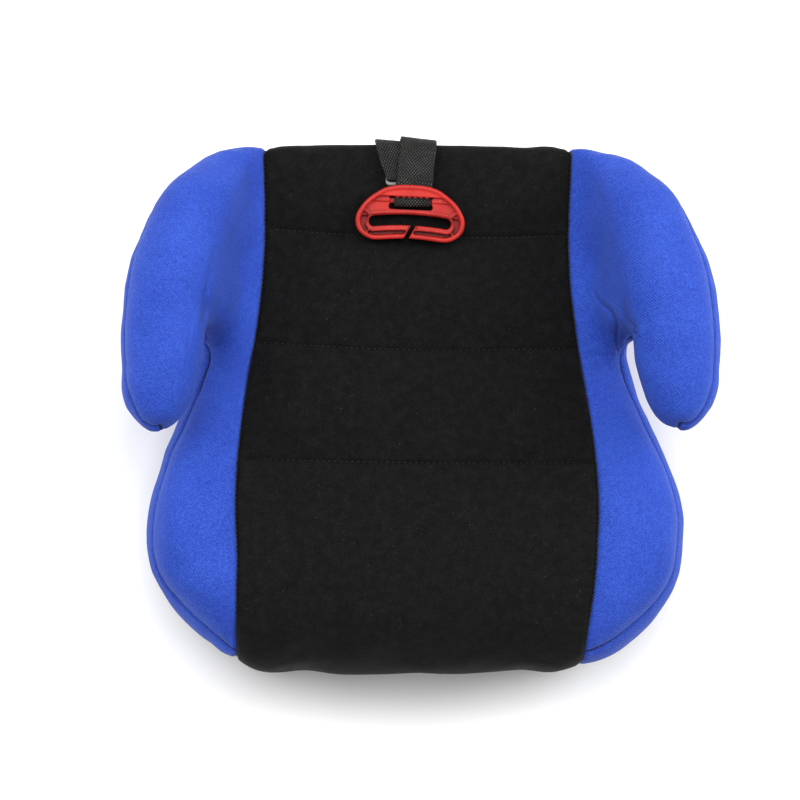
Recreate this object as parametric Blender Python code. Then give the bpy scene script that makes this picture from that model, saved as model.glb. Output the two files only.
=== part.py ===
"""Backless booster seat: moulded seat shell with two armrest horns, foam, sewn cover panels,
and a webbing strap with a shoulder-belt guide.

Frame: metres, +Z up. The origin is on the ground, on the mid-plane, at mid-depth.
The front edge of the seat faces -Y, the rear edge +Y. "right" in a name is the +X side,
which is on the right when the seat is seen from the front.
Tables and helpers below are in millimetres. While the pieces are built, y = 0 is the middle
of the cushion; set_frame() then moves everything to the final origin.
"""

import math

import bmesh
import bpy
import numpy as np
from mathutils import Matrix, Vector

for old in list(bpy.data.objects):
    bpy.data.objects.remove(old)

MM = 0.001
SIDES = ((1, "right"), (-1, "left"))

# ---------------------------------------------------------------- driving dimensions (mm)
HEM_Z = 24.0            # lower edge of the sewn cover
WIDE_Z = 82.0           # height at which the cushion is widest
COVER = 3.0             # laminated cover thickness
FOAM_TOP = 12.0         # seat foam thickness
FOAM_SIDE = 3.0         # foam thickness at the walls
FOAM_ARM = 5.0          # armrest foam thickness
WALL = 3.0              # moulded shell wall
GAP = 0.4               # clearance between neighbouring cover panels
RIM_INSET = 10.0        # shell rim, in from the widest outline
VOID_DROP = 12.0        # the hollows of cover and foam reach this far below the hem
WEB_W = 25.0            # webbing width
WEB_T = 1.3             # webbing thickness
CUSHION_STEPS = 18      # outline points on each half of the cushion

# Insets from the cover's outer surface, at the walls, the top and the armrests.
FOAM_INSET_SIDE = COVER + 0.8
FOAM_INSET_TOP = COVER + 0.9
FOAM_INSET_ARM = COVER + 1.7
SHELL_GAP = 0.8         # clearance from foam to shell
SHELL_GAP_ARM = 1.0     # the same in the armrests
SHELL_INSET_SIDE = FOAM_INSET_SIDE + FOAM_SIDE + SHELL_GAP
SHELL_INSET_TOP = FOAM_INSET_TOP + FOAM_TOP + SHELL_GAP
SHELL_INSET_ARM = FOAM_INSET_ARM + FOAM_ARM + SHELL_GAP_ARM

# Limits of cutting volumes, clear of every piece.
FAR = 250.0
FAR_OUT = 260.0
FAR_BELOW = -20.0

# Half outline of the cushion at its widest level, rear centre to front centre: x, y.
OUTLINE = [
    (0, 182), (45, 181.8), (78, 180.5), (102, 176.5), (122, 168), (139, 154), (149, 135),
    (153, 112), (152.5, 88), (149.5, 66), (149, 45), (155.5, 18), (165.5, -13), (175, -36),
    (182.3, -58), (186, -82), (184.3, -104), (177, -125), (165, -142.5), (149, -157.5),
    (131, -169.5), (108, -178.5), (75, -182), (38, -183), (0, -183)]

# Seat surface on the mid-plane: y, height.
CENTRE = [
    (-190, 103), (-150, 106), (-120, 107), (-80, 106), (-38, 104), (0, 102.5), (41, 102),
    (60, 102.3), (100, 104.5), (120, 107.5), (135, 112), (150, 116.5), (165, 119.8), (190, 121)]
# Side bolsters: y, rise above the mid-plane (a fall at the lap-belt waist).
BOLSTER = [
    (-190, 0), (-150, 4), (-110, 9), (-60, 9), (-25, 3), (0, -5), (20, -11), (45, -11),
    (62, -3), (90, 7), (130, 6), (160, 1), (190, -2)]
# Seam between the centre panel and the side panels: y, distance from the mid-plane.
SEAM_X = [
    (-190, 118.5), (-167, 119), (-140, 119.5), (-100, 121), (-65, 122.5), (-30, 121.5),
    (4, 119), (25, 116.5), (52, 110.5), (87, 105.5), (122, 104), (190, 105.5)]
# Values of y at which the seam is cut.
SEAM_Y = [-200, -183, -167, -140, -100, -65, -30, 4, 25, 52, 87, 122, 150, 200]

# Armrest stations: y, inner x, outer x, underside z, top z, share of the flared haunch below it.
HAUNCH_FRONT = (44.0, 56.0)     # the haunch's front face lies between these two stations
ARM = [
    (-24.0, 168.0, 177.0, 148.0, 164.0, 0.0),
    (-19.0, 160.5, 184.5, 138.8, 173.0, 0.0),
    (-8.0, 152.7, 192.6, 131.3, 181.0, 0.0),
    (12.0, 147.2, 199.4, 127.0, 187.4, 0.0),
    (HAUNCH_FRONT[0], 140.5, 201.3, 125.0, 190.2, 0.0),
    (HAUNCH_FRONT[1], 139.0, 200.7, 124.0, 190.1, 1.0),
    (84.0, 136.5, 195.8, 124.0, 188.3, 1.0),
    (110.0, 131.6, 186.4, 120.0, 182.3, 1.0),
    (133.0, 125.0, 173.8, 115.0, 172.4, 1.0),
    (152.0, 117.0, 156.0, 107.0, 156.4, 1.0),
    (166.0, 107.5, 134.5, 98.0, 138.3, 1.0),
    (174.0, 101.0, 115.0, 92.0, 121.0, 1.0)]


# ---------------------------------------------------------------- curves
def lookup(table, key):
    """Smooth (Catmull-Rom) value at key, from rows of (key, value) sorted by key."""
    keys = [row[0] for row in table]
    values = [row[1] for row in table]
    if key <= keys[0]:
        return float(values[0])
    if key >= keys[-1]:
        return float(values[-1])
    i = max(k for k in range(len(keys) - 1) if keys[k] <= key)
    start, end = values[i], values[i + 1]
    span = keys[i + 1] - keys[i]
    slope_start = slope_end = (end - start) / span
    if i > 0:
        slope_start = (end - values[i - 1]) / (keys[i + 1] - keys[i - 1])
    if i + 2 < len(keys):
        slope_end = (values[i + 2] - start) / (keys[i + 2] - keys[i])
    u = (key - keys[i]) / span
    return ((2 * u ** 3 - 3 * u ** 2 + 1) * start + (u ** 3 - 2 * u ** 2 + u) * span * slope_start
            + (-2 * u ** 3 + 3 * u ** 2) * end + (u ** 3 - u ** 2) * span * slope_end)


def smooth(u):
    """Ease from 0 to 1, held at both ends."""
    u = min(1.0, max(0.0, u))
    return u * u * (3 - 2 * u)


def closed_outline(per_half):
    """OUTLINE mirrored, splined and sampled evenly, as points and outward normals."""
    subdivisions = 16
    reach = 6               # the tangent is taken between points this far ahead and behind
    corners = OUTLINE + [(-x, y) for x, y in reversed(OUTLINE[1:-1])]
    count = len(corners)
    dense = []
    for i in range(count):
        before, start, end, after = (np.array(corners[(i + k) % count], float)
                                     for k in (-1, 0, 1, 2))
        for s in range(subdivisions):
            u = s / subdivisions
            dense.append(0.5 * (2 * start + (end - before) * u
                                + (2 * before - 5 * start + 4 * end - after) * u * u
                                + (3 * start - before - 3 * end + after) * u ** 3))
    dense = np.array(dense)
    step = np.linalg.norm(np.roll(dense, -1, 0) - dense, axis=1)
    along = np.concatenate([[0], np.cumsum(step)])
    loop = np.vstack([dense, dense[:1]])

    def sample(distance):
        return np.stack([np.interp(distance, along, loop[:, k]) for k in (0, 1)], 1)

    at = np.linspace(0, along[-1], 2 * per_half, endpoint=False)
    tangent = sample((at + reach) % along[-1]) - sample((at - reach) % along[-1])
    tangent /= np.linalg.norm(tangent, axis=1)[:, None]
    # The ring runs clockwise seen from above, so outward is to the left of the tangent.
    normal = np.stack([-tangent[:, 1], tangent[:, 0]], 1)
    return sample(at), normal


def outline_half_width(y):
    return lookup(sorted((row_y, row_x) for row_x, row_y in OUTLINE), y)


def surface(x, y):
    """Height of the cover's outer surface over the plan."""
    off_centre = abs(x)
    dish = 4.0 * min(1.0, off_centre / 100.0) ** 2      # fades out towards the rear edge
    return (lookup(CENTRE, y) + dish * smooth((185 - y) / 60)
            + lookup(BOLSTER, y) * smooth((off_centre - 92) / 50))


# ---------------------------------------------------------------- meshes
def link(name, mesh):
    made = bpy.data.objects.new(name, mesh)
    bpy.context.scene.collection.objects.link(made)
    return made


def solid(name, verts, faces):
    """Triangulated object from millimetre vertices."""
    mesh = bpy.data.meshes.new(name)
    mesh.from_pydata([tuple(c * MM for c in v) for v in verts], [], faces)
    mesh.validate()
    bm = bmesh.new()
    bm.from_mesh(mesh)
    bmesh.ops.triangulate(bm, faces=bm.faces)
    bmesh.ops.recalc_face_normals(bm, faces=bm.faces)
    bm.to_mesh(mesh)
    bm.free()
    return link(name, mesh)


def skin_faces(ring_count, n, closed=False):
    """Quads between successive rings of n points; closed joins the last ring to the first."""
    return [(i * n + j, i * n + (j + 1) % n,
             (i + 1) % ring_count * n + (j + 1) % n, (i + 1) % ring_count * n + j)
            for i in range(ring_count if closed else ring_count - 1) for j in range(n)]


def loft(name, rings, banded_caps=False):
    """Closed skin through rings of equal length, with end caps.

    banded_caps is for rings that mirror themselves (first point to half way): it caps them
    with cross bands instead of one face.
    """
    n = len(rings[0])
    verts = [tuple(p) for ring in rings for p in ring]
    faces = skin_faces(len(rings), n)
    if banded_caps:
        cap = [(i, i + 1, n - i - 1, n - i) for i in range(1, n // 2 - 1)]
        cap += [(0, 1, n - 1), (n // 2 - 1, n // 2, n // 2 + 1)]
    else:
        cap = [tuple(range(n))]
    for base in (0, (len(rings) - 1) * n):
        faces += [tuple(base + k for k in face) for face in cap]
    return solid(name, verts, faces)


def box(name, low, high):
    (x0, y0, z0), (x1, y1, z1) = low, high
    verts = [(x0, y0, z0), (x1, y0, z0), (x1, y1, z0), (x0, y1, z0),
             (x0, y0, z1), (x1, y0, z1), (x1, y1, z1), (x0, y1, z1)]
    faces = [(0, 3, 2, 1), (4, 5, 6, 7), (0, 1, 5, 4), (1, 2, 6, 5), (2, 3, 7, 6), (3, 0, 4, 7)]
    return solid(name, verts, faces)


def side_box(name, side, low, high):
    """Box given for the +X side, mirrored when side is -1."""
    x0, x1 = sorted((side * low[0], side * high[0]))
    return box(name, (x0, *low[1:]), (x1, *high[1:]))


def strip(name, rows):
    """Solid through upright rectangles, rows of (y, x from, x to, z from, z to)."""
    return loft(name, [[(x0, y, z0), (x1, y, z0), (x1, y, z1), (x0, y, z1)]
                       for y, x0, x1, z0, z1 in rows])


def slab(name, plan, z0, z1):
    return loft(name, [[(x, y, z) for x, y in plan] for z in (z0, z1)])


def rounded(x0, y0, x1, y1, radius, steps=4):
    """Plan of a rectangle with rounded corners."""
    corners = ((x1 - radius, y1 - radius, 0), (x0 + radius, y1 - radius, 90),
               (x0 + radius, y0 + radius, 180), (x1 - radius, y0 + radius, 270))
    plan = []
    for x, y, start in corners:
        for k in range(steps + 1):
            angle = math.radians(start + 90 * k / steps)
            plan.append((x + radius * math.cos(angle), y + radius * math.sin(angle)))
    return plan


def boolean(target, other, operation):
    """Applies one Boolean between closed meshes, removes other and returns target."""
    modifier = target.modifiers.new("cut", "BOOLEAN")
    modifier.operation = operation
    modifier.solver = "MANIFOLD"
    modifier.object = other
    graph = bpy.context.evaluated_depsgraph_get()
    graph.update()
    mesh = bpy.data.meshes.new_from_object(target.evaluated_get(graph), depsgraph=graph)
    target.modifiers.remove(modifier)
    old_mesh = target.data
    target.data = mesh
    bpy.data.meshes.remove(old_mesh)
    bpy.data.objects.remove(other)
    return target


def cut(target, other):
    return boolean(target, other, "DIFFERENCE")


def join(target, other):
    return boolean(target, other, "UNION")


def common(target, other):
    return boolean(target, other, "INTERSECT")


def copy_of(source, name):
    return link(name, source.data.copy())


def keep_largest(bm):
    """Drops the offcuts a curved cut leaves beside the main piece."""
    left, groups = set(bm.verts), []
    while left:
        start = left.pop()
        group, todo = {start}, [start]
        while todo:
            for edge in todo.pop().link_edges:
                for v in edge.verts:
                    if v not in group:
                        group.add(v)
                        todo.append(v)
        left -= group
        groups.append(group)
    groups.sort(key=len)
    offcuts = [v for group in groups[:-1] for v in group]
    bmesh.ops.delete(bm, geom=offcuts, context="VERTS")


def tidy(target):
    """Removes slivers and doubles left by cuts, as far as the mesh stays closed."""
    for merge in (0.12, 0.06, 0.02, 0.005, 0.0):
        bm = bmesh.new()
        bm.from_mesh(target.data)
        if merge:
            bmesh.ops.remove_doubles(bm, verts=bm.verts, dist=merge * MM)
            bmesh.ops.dissolve_degenerate(bm, edges=bm.edges, dist=merge * MM)
        bmesh.ops.triangulate(bm, faces=bm.faces)
        keep_largest(bm)
        if all(len(edge.link_faces) == 2 for edge in bm.edges) or not merge:
            break
        bm.free()
    bm.to_mesh(target.data)
    bm.free()
    return target


# ---------------------------------------------------------------- materials
def material(name, colour, roughness, metallic=0.0):
    made = bpy.data.materials.new(name)
    made.use_nodes = True
    inputs = made.node_tree.nodes["Principled BSDF"].inputs
    inputs["Base Color"].default_value = (*colour, 1)
    inputs["Roughness"].default_value = roughness
    inputs["Metallic"].default_value = metallic
    return made


BLUE_FABRIC = material("blue_fabric", colour=(0.040, 0.100, 0.640), roughness=0.85)
BLACK_FABRIC = material("black_fabric", colour=(0.012, 0.012, 0.013), roughness=0.9)
WEBBING = material("black_webbing", colour=(0.018, 0.018, 0.017), roughness=0.8)
RED_PLASTIC = material("red_plastic", colour=(0.620, 0.050, 0.030), roughness=0.35)
GREY_PLASTIC = material("grey_plastic", colour=(0.55, 0.57, 0.57), roughness=0.4)
SHELL_PLASTIC = material("shell_plastic", colour=(0.020, 0.020, 0.022), roughness=0.5)
FOAM = material("foam", colour=(0.60, 0.60, 0.58), roughness=0.95)
STEEL = material("steel", colour=(0.60, 0.60, 0.60), roughness=0.3, metallic=1.0)
ELASTIC = material("elastic", colour=(0.03, 0.03, 0.03), roughness=0.85)


def finish(target, surface_material):
    target.data.materials.clear()
    target.data.materials.append(surface_material)
    target.data.shade_smooth()
    target.data.set_sharp_from_angle(angle=math.radians(40))


# ---------------------------------------------------------------- cushion and armrest forms
def cushion(name, side, top, bottom, rim):
    """The cushion form, in from its outer surface by side at the walls and lowered by top.

    rim, if given, makes a straight vertical band of that inset from bottom up to the hem.
    """
    points, normal = closed_outline(CUSHION_STEPS)
    # Radius of the top edge: larger at the front, smaller at the rear.
    radius = 26 + 16 * np.maximum(0, -normal[:, 1]) ** 2 - 13 * np.maximum(0, normal[:, 1]) ** 2
    wide = WIDE_Z - 0.9 * top
    rings = []

    def ring(inset, height):
        rings.append([(x, y, height(x, y)) for x, y in points - normal * inset[:, None]])

    # Wall levels: z, inset from the widest outline.
    if rim is None:
        walls = [(bottom, 6.0), (42.0, 3.4), (60.0, 1.2), (wide, 0.0)]
    else:
        walls = [(bottom, rim - side), (HEM_Z, rim - side), (46.0, 3.4), (wide, 0.0)]
    for z, inset in walls:
        ring(np.full(len(points), inset + side), lambda x, y: z)
    for share in (0.1, 0.38, 1.0):      # over the rounded top edge
        roll = math.sqrt(1 - (1 - share) ** 2)
        ring(side + radius * share, lambda x, y: wide + (surface(x, y) - top - wide) * roll)
    # One more ring on the seat, half way in to a line on the mid-plane.
    inner = points - normal * (side + radius)[:, None]
    spine = np.stack([inner[:, 0] * 0.0, inner[:, 1] * 0.55], 1)
    rings.append([(x, y, surface(x, y) - top) for x, y in inner + (spine - inner) * 0.5])
    return loft(name, rings, banded_caps=True)


HAUNCH_LOW_Z = 58.0     # lower end of the haunch section
HAUNCH_FLOOR = 56.0     # every layer's haunch ends flat at this height
HAUNCH_BELOW = 60.0     # section points below this are the ones set to the floor


def arm_section(y, inner_x, outer_x, under_z, top_z, flare):
    """XZ section of the armrest: a bulb, blended into a haunch that runs into the cushion."""
    middle_x, half_width = (inner_x + outer_x) / 2, (outer_x - inner_x) / 2
    middle_z, half_height = (under_z + top_z) / 2, (top_z - under_z) / 2

    def flank(start_angle, turn, edge_x, low_x, power):
        """Points down one side, from the middle of the bulb."""
        shares = (0.2, 0.52, 1.0)
        points = []
        for k, share in enumerate(shares):
            angle = math.radians(start_angle + turn * (k + 1) / len(shares))
            bulb_x = middle_x + half_width * math.cos(angle) * 1.06
            bulb_z = middle_z + half_height * math.sin(angle)
            stem_x = edge_x + (low_x - edge_x) * (share ** power)
            stem_z = middle_z + (HAUNCH_LOW_Z - middle_z) * share
            points.append((bulb_x + (stem_x - bulb_x) * flare, y,
                           bulb_z + (stem_z - bulb_z) * flare))
        return points

    section = []
    for k in range(6):      # outer middle, over the top, to the inner middle
        angle = math.radians(36 * k)
        cosine, sine = math.cos(angle), math.sin(angle)
        section.append((middle_x + half_width * math.copysign(abs(cosine) ** 0.85, cosine), y,
                        middle_z + half_height * abs(sine) ** 0.85))
    section += flank(180, 80, inner_x, inner_x - 36, 0.9)
    section += reversed(flank(360, -80, outer_x, outline_half_width(y) - 16, 1.25))
    return section


def arm_rows(inset):
    """Stations of the armrest, with both ends and the haunch's front drawn in by the inset."""
    table = np.array(ARM)
    table[np.isin(table[:, 0], HAUNCH_FRONT), 0] += 0.9 * inset
    first, last = ARM[0][0] + inset, ARM[-1][0] - 1.3 * inset
    stations = [first] + [y for y in table[:, 0] if first + 1.5 < y < last - 1.5] + [last]
    return [[y] + [float(np.interp(y, table[:, 0], table[:, k])) for k in range(1, 6)]
            for y in stations]


def armrest(name, inset, side):
    """One armrest with its haunch, drawn in by inset within each section."""
    rings = []
    for row in arm_rows(inset):
        ring = np.array(arm_section(*row))
        along = np.roll(ring, -1, 0) - np.roll(ring, 1, 0)
        normal = np.stack([along[:, 2], along[:, 0] * 0, -along[:, 0]], 1)
        normal /= np.linalg.norm(normal, axis=1)[:, None]
        moved = ring - normal * inset
        moved[ring[:, 2] < HAUNCH_BELOW, 2] = HAUNCH_FLOOR
        moved[:, 0] *= side
        rings.append(moved)
    return loft(name, rings)


def layer(name, side, top, arm, bottom, rim=None):
    """Cushion and both armrests joined, at the given insets from the cover's surface."""
    made = cushion(name, side, top, bottom, rim)
    for direction, word in SIDES:
        join(made, armrest("arm_" + word, arm, direction))
    return made


# ---------------------------------------------------------------- sewn cover
REAR_PANEL_Y = 172      # front limit of the rear panel
REAR_PANEL_TOP = 106

# Top of the outer wall band: y, z.
WALL_BAND = [(-200, 84), (-120, 85), (-40, 86), (20, 80), (46, 80), (60, 96), (200, 100)]
# Outer lower part of the armrest: y, inner x, top z, bottom z.
ARM_BAND = [
    (-30, 172.5, 164, 117), (20, 174, 166, 117), (47, 172.6, 165.5, 117), (56, 171.4, 165, 88),
    (95, 166, 162, 88), (115, 160, 156, 88), (132, 152, 149, 88), (148, 142, 138, 88),
    (160, 131, 127, 88), (170, 118, 114, 88), (200, 105, 100, 88)]


def centre_prism(shrink):
    """Volume between the two seams, drawn in by shrink."""
    rows = []
    for y in SEAM_Y:
        half = lookup(SEAM_X, y) - shrink
        rows.append((y, -half, half, FAR_BELOW, FAR_OUT))
    return strip("prism", rows)


def outer_band(side, grow):
    """Volume of a skirt panel: the wall band and the armrest's outer lower part."""
    wall = strip("band", [(y, side * 90, side * FAR, FAR_BELOW, top + grow)
                          for y, top in WALL_BAND])
    arm = strip("mid", [(y, side * (x - grow), side * FAR, bottom - grow, top + grow)
                        for y, x, top, bottom in ARM_BAND])
    return join(wall, arm)


def under_box(side, grow):
    """Volume of the panel below the front of an armrest."""
    return side_box("under", side, (130 - grow, -60, 117 - grow),
                    (172.5 + grow, 47 + grow, 142 + grow))


def build_cover():
    cover = layer("cover_all", side=0.0, top=0.0, arm=0.0, bottom=HEM_Z)
    cut(cover, layer("cover_void", side=COVER, top=COVER, arm=COVER, bottom=HEM_Z - VOID_DROP))

    centre = common(copy_of(cover, "cover_centre_panel"), centre_prism(GAP / 2))
    rear = common(copy_of(centre, "cover_rear_panel"),
                  box("rear_box", (-150, REAR_PANEL_Y, FAR_BELOW), (150, 210, REAR_PANEL_TOP)))
    cut(centre, box("rear_cut", (-150, REAR_PANEL_Y - GAP, FAR_BELOW),
                    (150, 210, REAR_PANEL_TOP + GAP)))
    for panel in (centre, rear):
        finish(tidy(panel), BLACK_FABRIC)

    cut(cover, centre_prism(-GAP / 2))
    for side, word in SIDES:
        half_box = side_box("half_box", side, (60.0, -FAR, FAR_BELOW), (FAR_OUT, FAR, FAR_OUT))
        # What is left of this half after the other two panels becomes the bolster.
        bolster = common(copy_of(cover, "cover_bolster_" + word), half_box)
        skirt = common(copy_of(bolster, "cover_skirt_" + word), outer_band(side, 0.0))
        cut(bolster, outer_band(side, GAP))
        under = common(copy_of(bolster, "armrest_under_" + word), under_box(side, 0.0))
        cut(bolster, under_box(side, GAP))
        for panel in (skirt, under, bolster):
            finish(tidy(panel), BLUE_FABRIC)
    bpy.data.objects.remove(cover)


# ---------------------------------------------------------------- foam
FOAM_FLOOR = 64             # lower edge of the seat foam
SEAT_FOAM_TOP = 126.7       # the seat foam ends here within the armrests
FOAM_SPLIT = 0.5            # gap from there up to the armrest foam


def build_foam():
    foam = layer("seat_foam", side=FOAM_INSET_SIDE, top=FOAM_INSET_TOP, arm=FOAM_INSET_ARM,
                 bottom=HEM_Z)
    cut(foam, layer("foam_void", side=SHELL_INSET_SIDE - SHELL_GAP,
                    top=SHELL_INSET_TOP - SHELL_GAP, arm=SHELL_INSET_ARM - SHELL_GAP_ARM,
                    bottom=HEM_Z - VOID_DROP))
    cut(foam, box("foam_floor", (-FAR_OUT, -FAR_OUT, FAR_BELOW), (FAR_OUT, FAR_OUT, FOAM_FLOOR)))

    def arm_box(side, low_z):
        return side_box("arm_box", side, (88.0, -60, low_z), (FAR_OUT, 230, FAR_OUT))

    for side, word in SIDES:
        arm = common(copy_of(foam, "armrest_foam_" + word),
                     arm_box(side, SEAT_FOAM_TOP + FOAM_SPLIT))
        cut(foam, arm_box(side, SEAT_FOAM_TOP))
        finish(tidy(arm), FOAM)
    finish(tidy(foam), FOAM)


# ---------------------------------------------------------------- moulded shell and hem
RIB_X = (-28.0, 28.0)       # ribs that run front to rear
RIB_Y = (-85.0, 25.0, 110.0)    # ribs that run across
RIB_HALF = 1.1
RIB_LOW_Z = 6
WINDOW_LOW_Z = 8.5          # lower edge of the windows in the rim

STRAP_X = -6.0              # middle of the strap, a little to one side of the mid-plane
REAR_RUN_X = STRAP_X + 3    # middle of the strap at its anchor

# Plan directions of the hem hooks: 0 is +X, 90 is the rear.
HOOK_ANGLES = (-123.0, -57.0, -22.0, 202.0, 68.0, 112.0)
HOOK_HALF = 6.5             # half width of a hook


def rim_frames():
    """For each hook, the matrix that puts it on the rim with local +X outward."""
    outline, outward = closed_outline(60)
    frames = []
    for degrees in HOOK_ANGLES:
        angle = math.radians(degrees)
        direction = np.array([math.cos(angle), math.sin(angle)])
        k = int((outline @ direction / np.linalg.norm(outline, axis=1)).argmax())
        out_x, out_y = outward[k]
        at = outline[k] - outward[k] * RIM_INSET
        frames.append(Matrix(((out_x, -out_y, 0, at[0] * MM), (out_y, out_x, 0, at[1] * MM),
                              (0, 0, 1, 0), (0, 0, 0, 1))))
    return frames


def build_shell():
    shell = layer("seat_shell", side=SHELL_INSET_SIDE, top=SHELL_INSET_TOP,
                  arm=SHELL_INSET_ARM, bottom=0.0, rim=RIM_INSET)
    void = layer("shell_void", side=SHELL_INSET_SIDE + WALL, top=SHELL_INSET_TOP + WALL,
                 arm=SHELL_INSET_ARM + WALL, bottom=-6.0, rim=RIM_INSET + WALL)
    # What is taken out of the void stays in the shell as ribs.
    for x in RIB_X:
        cut(void, box("rib", (x - RIB_HALF, -FAR, RIB_LOW_Z), (x + RIB_HALF, FAR, FAR)))
    for y in RIB_Y:
        cut(void, box("rib", (-FAR, y - RIB_HALF, RIB_LOW_Z), (FAR, y + RIB_HALF, FAR)))
    cut(shell, void)
    # The underside of each armrest core is open, as a channel section.
    for side, _ in SIDES:
        cut(shell, side_box("core", side, (162.0, -4, 120), (184.0, 42, 152)))
    # Window for the strap through the rear rim.
    cut(shell, box("window", (REAR_RUN_X - 19, 150, WINDOW_LOW_Z), (REAR_RUN_X + 19, 190, 15.0)))
    for frame in rim_frames():
        window = box("window", (-9, -8.0, WINDOW_LOW_Z), (9, 8.0, 13.5))
        window.data.transform(frame)
        cut(shell, window)
    finish(tidy(shell), SHELL_PLASTIC)


def build_hem_hooks():
    """Hooks on tabs of the cover, each through a small window in the rim."""
    for number, frame in enumerate(rim_frames(), 1):
        hook = box("hem_hook_%d" % number, (0.5, -HOOK_HALF, 9.4), (2.5, HOOK_HALF, 18.0))
        join(hook, box("lip", (-8.2, -HOOK_HALF, 9.4), (1.5, HOOK_HALF, 11.6)))
        join(hook, box("barb", (-8.2, -HOOK_HALF, 6.6), (-6.4, HOOK_HALF, 10.5)))
        hook.data.transform(frame)
        finish(tidy(hook), SHELL_PLASTIC)


def build_hem_elastic():
    """Elastic in the hem, a cord just under the cover's edge."""
    radius, inset, drop, facets = 1.3, 7.0, 2.1, 6
    angles = np.linspace(0, 2 * math.pi, facets, endpoint=False)
    points, normals = closed_outline(CUSHION_STEPS)
    verts = []
    for point, out in zip(points, normals):
        x, y = point - out * inset
        verts += [(x + out[0] * radius * math.cos(a), y + out[1] * radius * math.cos(a),
                   HEM_Z - drop + radius * math.sin(a)) for a in angles]
    cord = solid("hem_elastic", verts, skin_faces(len(points), facets, closed=True))
    finish(cord, ELASTIC)


# ---------------------------------------------------------------- webbing
LOWER_X = STRAP_X - 4.5     # middle of the lower layer on the seat
UPPER_X = STRAP_X + 4.0     # middle of the upper layer, and of the free end
ANCHOR_Y, ANCHOR_Z = 152.0, 16.8    # axis of the anchor bar

# The two layers on the seat, behind the adjuster (rear) and below and above it (front): x, y, z.
SEAT_LAYERS = {
    "strap_lower_rear": [(LOWER_X - 3, 166.0, 121.2), (LOWER_X - 4, 170.5, 122.2),
                         (LOWER_X - 4.5, 174.2, 122.6)],
    "strap_upper_rear": [(UPPER_X, 166.0, 124.75), (UPPER_X, 170.5, 125.1),
                         (UPPER_X, 174.2, 125.1)],
    "strap_lower_front": [(LOWER_X - 1, 155.0, 118.9), (LOWER_X - 2, 160.0, 120.0),
                          (LOWER_X - 2.8, 164.6, 120.85)],
    "strap_upper_front": [(UPPER_X, 160.5, 124.15), (UPPER_X, 162.5, 124.4),
                          (UPPER_X, 164.6, 124.65)]}


def ribbon(name, path, width=WEB_W, thickness=WEB_T):
    """Flat webbing along path, rows of (x, y, z) on its middle. Its width runs along X."""
    path = np.array(path, float)
    tangent = np.gradient(path[:, 1:], axis=0)
    tangent /= np.linalg.norm(tangent, axis=1)[:, None]
    w, h = width / 2, thickness / 2
    rings = []
    for (x, y, z), (along_y, along_z) in zip(path, tangent):
        dy, dz = -along_z * h, along_y * h      # half the thickness, across the path
        rings.append([(x - w, y - dy, z - dz), (x + w, y - dy, z - dz),
                      (x + w, y + dy, z + dz), (x - w, y + dy, z + dz)])
    return loft(name, rings)


def build_anchor_bar():
    """Bar held between the two front-to-rear ribs."""
    place = (Matrix.Translation((0, ANCHOR_Y * MM, ANCHOR_Z * MM))
             @ Matrix.Rotation(math.pi / 2, 4, "Y"))
    bm = bmesh.new()
    bmesh.ops.create_cone(bm, cap_ends=True, segments=16, radius1=3.0 * MM, radius2=3.0 * MM,
                          depth=51.0 * MM, matrix=place)
    mesh = bpy.data.meshes.new("strap_anchor_bar")
    bm.to_mesh(mesh)
    bm.free()
    finish(link("strap_anchor_bar", mesh), STEEL)


def build_rear_run():
    """Webbing round the anchor bar, out of the window and up the rear wall."""
    wrap = 4.2      # radius of the webbing's middle round the bar
    path = [(REAR_RUN_X, ANCHOR_Y + wrap * math.cos(a), ANCHOR_Z + wrap * math.sin(a))
            for a in (math.radians(degrees) for degrees in np.linspace(60, 270, 8))]
    path += [(REAR_RUN_X, 158, 12.2), (REAR_RUN_X, 170, 11.6), (REAR_RUN_X, 178, 12.0),
             (REAR_RUN_X, 181.6, 14.5), (REAR_RUN_X, 183.2, 20), (STRAP_X + 2.5, 183.5, 50),
             (STRAP_X + 1, 183.6, 80), (STRAP_X, 183.4, 95), (STRAP_X, 182.6, 106)]
    finish(ribbon("strap_rear_run", path), WEBBING)


def build_seat_layers():
    for name, path in SEAT_LAYERS.items():
        finish(ribbon(name, path), WEBBING)


def build_tail():
    """The free end, hanging behind, folded back and stitched at its tip."""
    end_z = 44
    tail = ribbon("strap_tail", [(UPPER_X, 186.1, 103.5), (UPPER_X, 186.4, 90),
                                 (UPPER_X, 186.5, 70), (UPPER_X, 186.5, end_z)])
    join(tail, box("tip", (UPPER_X - WEB_W / 2, 185.5, end_z), (UPPER_X + WEB_W / 2, 188.4, 56)))
    finish(tidy(tail), WEBBING)


# ---------------------------------------------------------------- belt guide and adjuster
# These are modelled flat, then tilted. Local +Y runs forward along the part from the middle
# of its rear edge, local Z is its thickness.
GUIDE_PLACE = {"origin": (-5.8, 151.9, 118.7), "turn": -2.0, "tilt": 15.4}
ADJUSTER_PLACE = {"origin": (STRAP_X - 1.5, 165.0, 121.95), "turn": 0.0, "tilt": 10.5}
GUIDE_THICKNESS = 7.4
GUIDE_THROUGH = (-1.0, 9.0)     # z range of cuts right through the guide

# Webbing loop round the guide's cross bar: local y, z.
LOOP_X = 1.0
LOOP_PATH = [
    (0.6, 4.0), (5.0, 4.1), (9.0, 4.4), (12.4, 4.4), (14.2, 3.8), (14.9, 2.7),
    (14.2, 1.6), (12.4, 0.95), (9.0, 0.95), (5.0, 1.1), (0.6, 1.3)]


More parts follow.
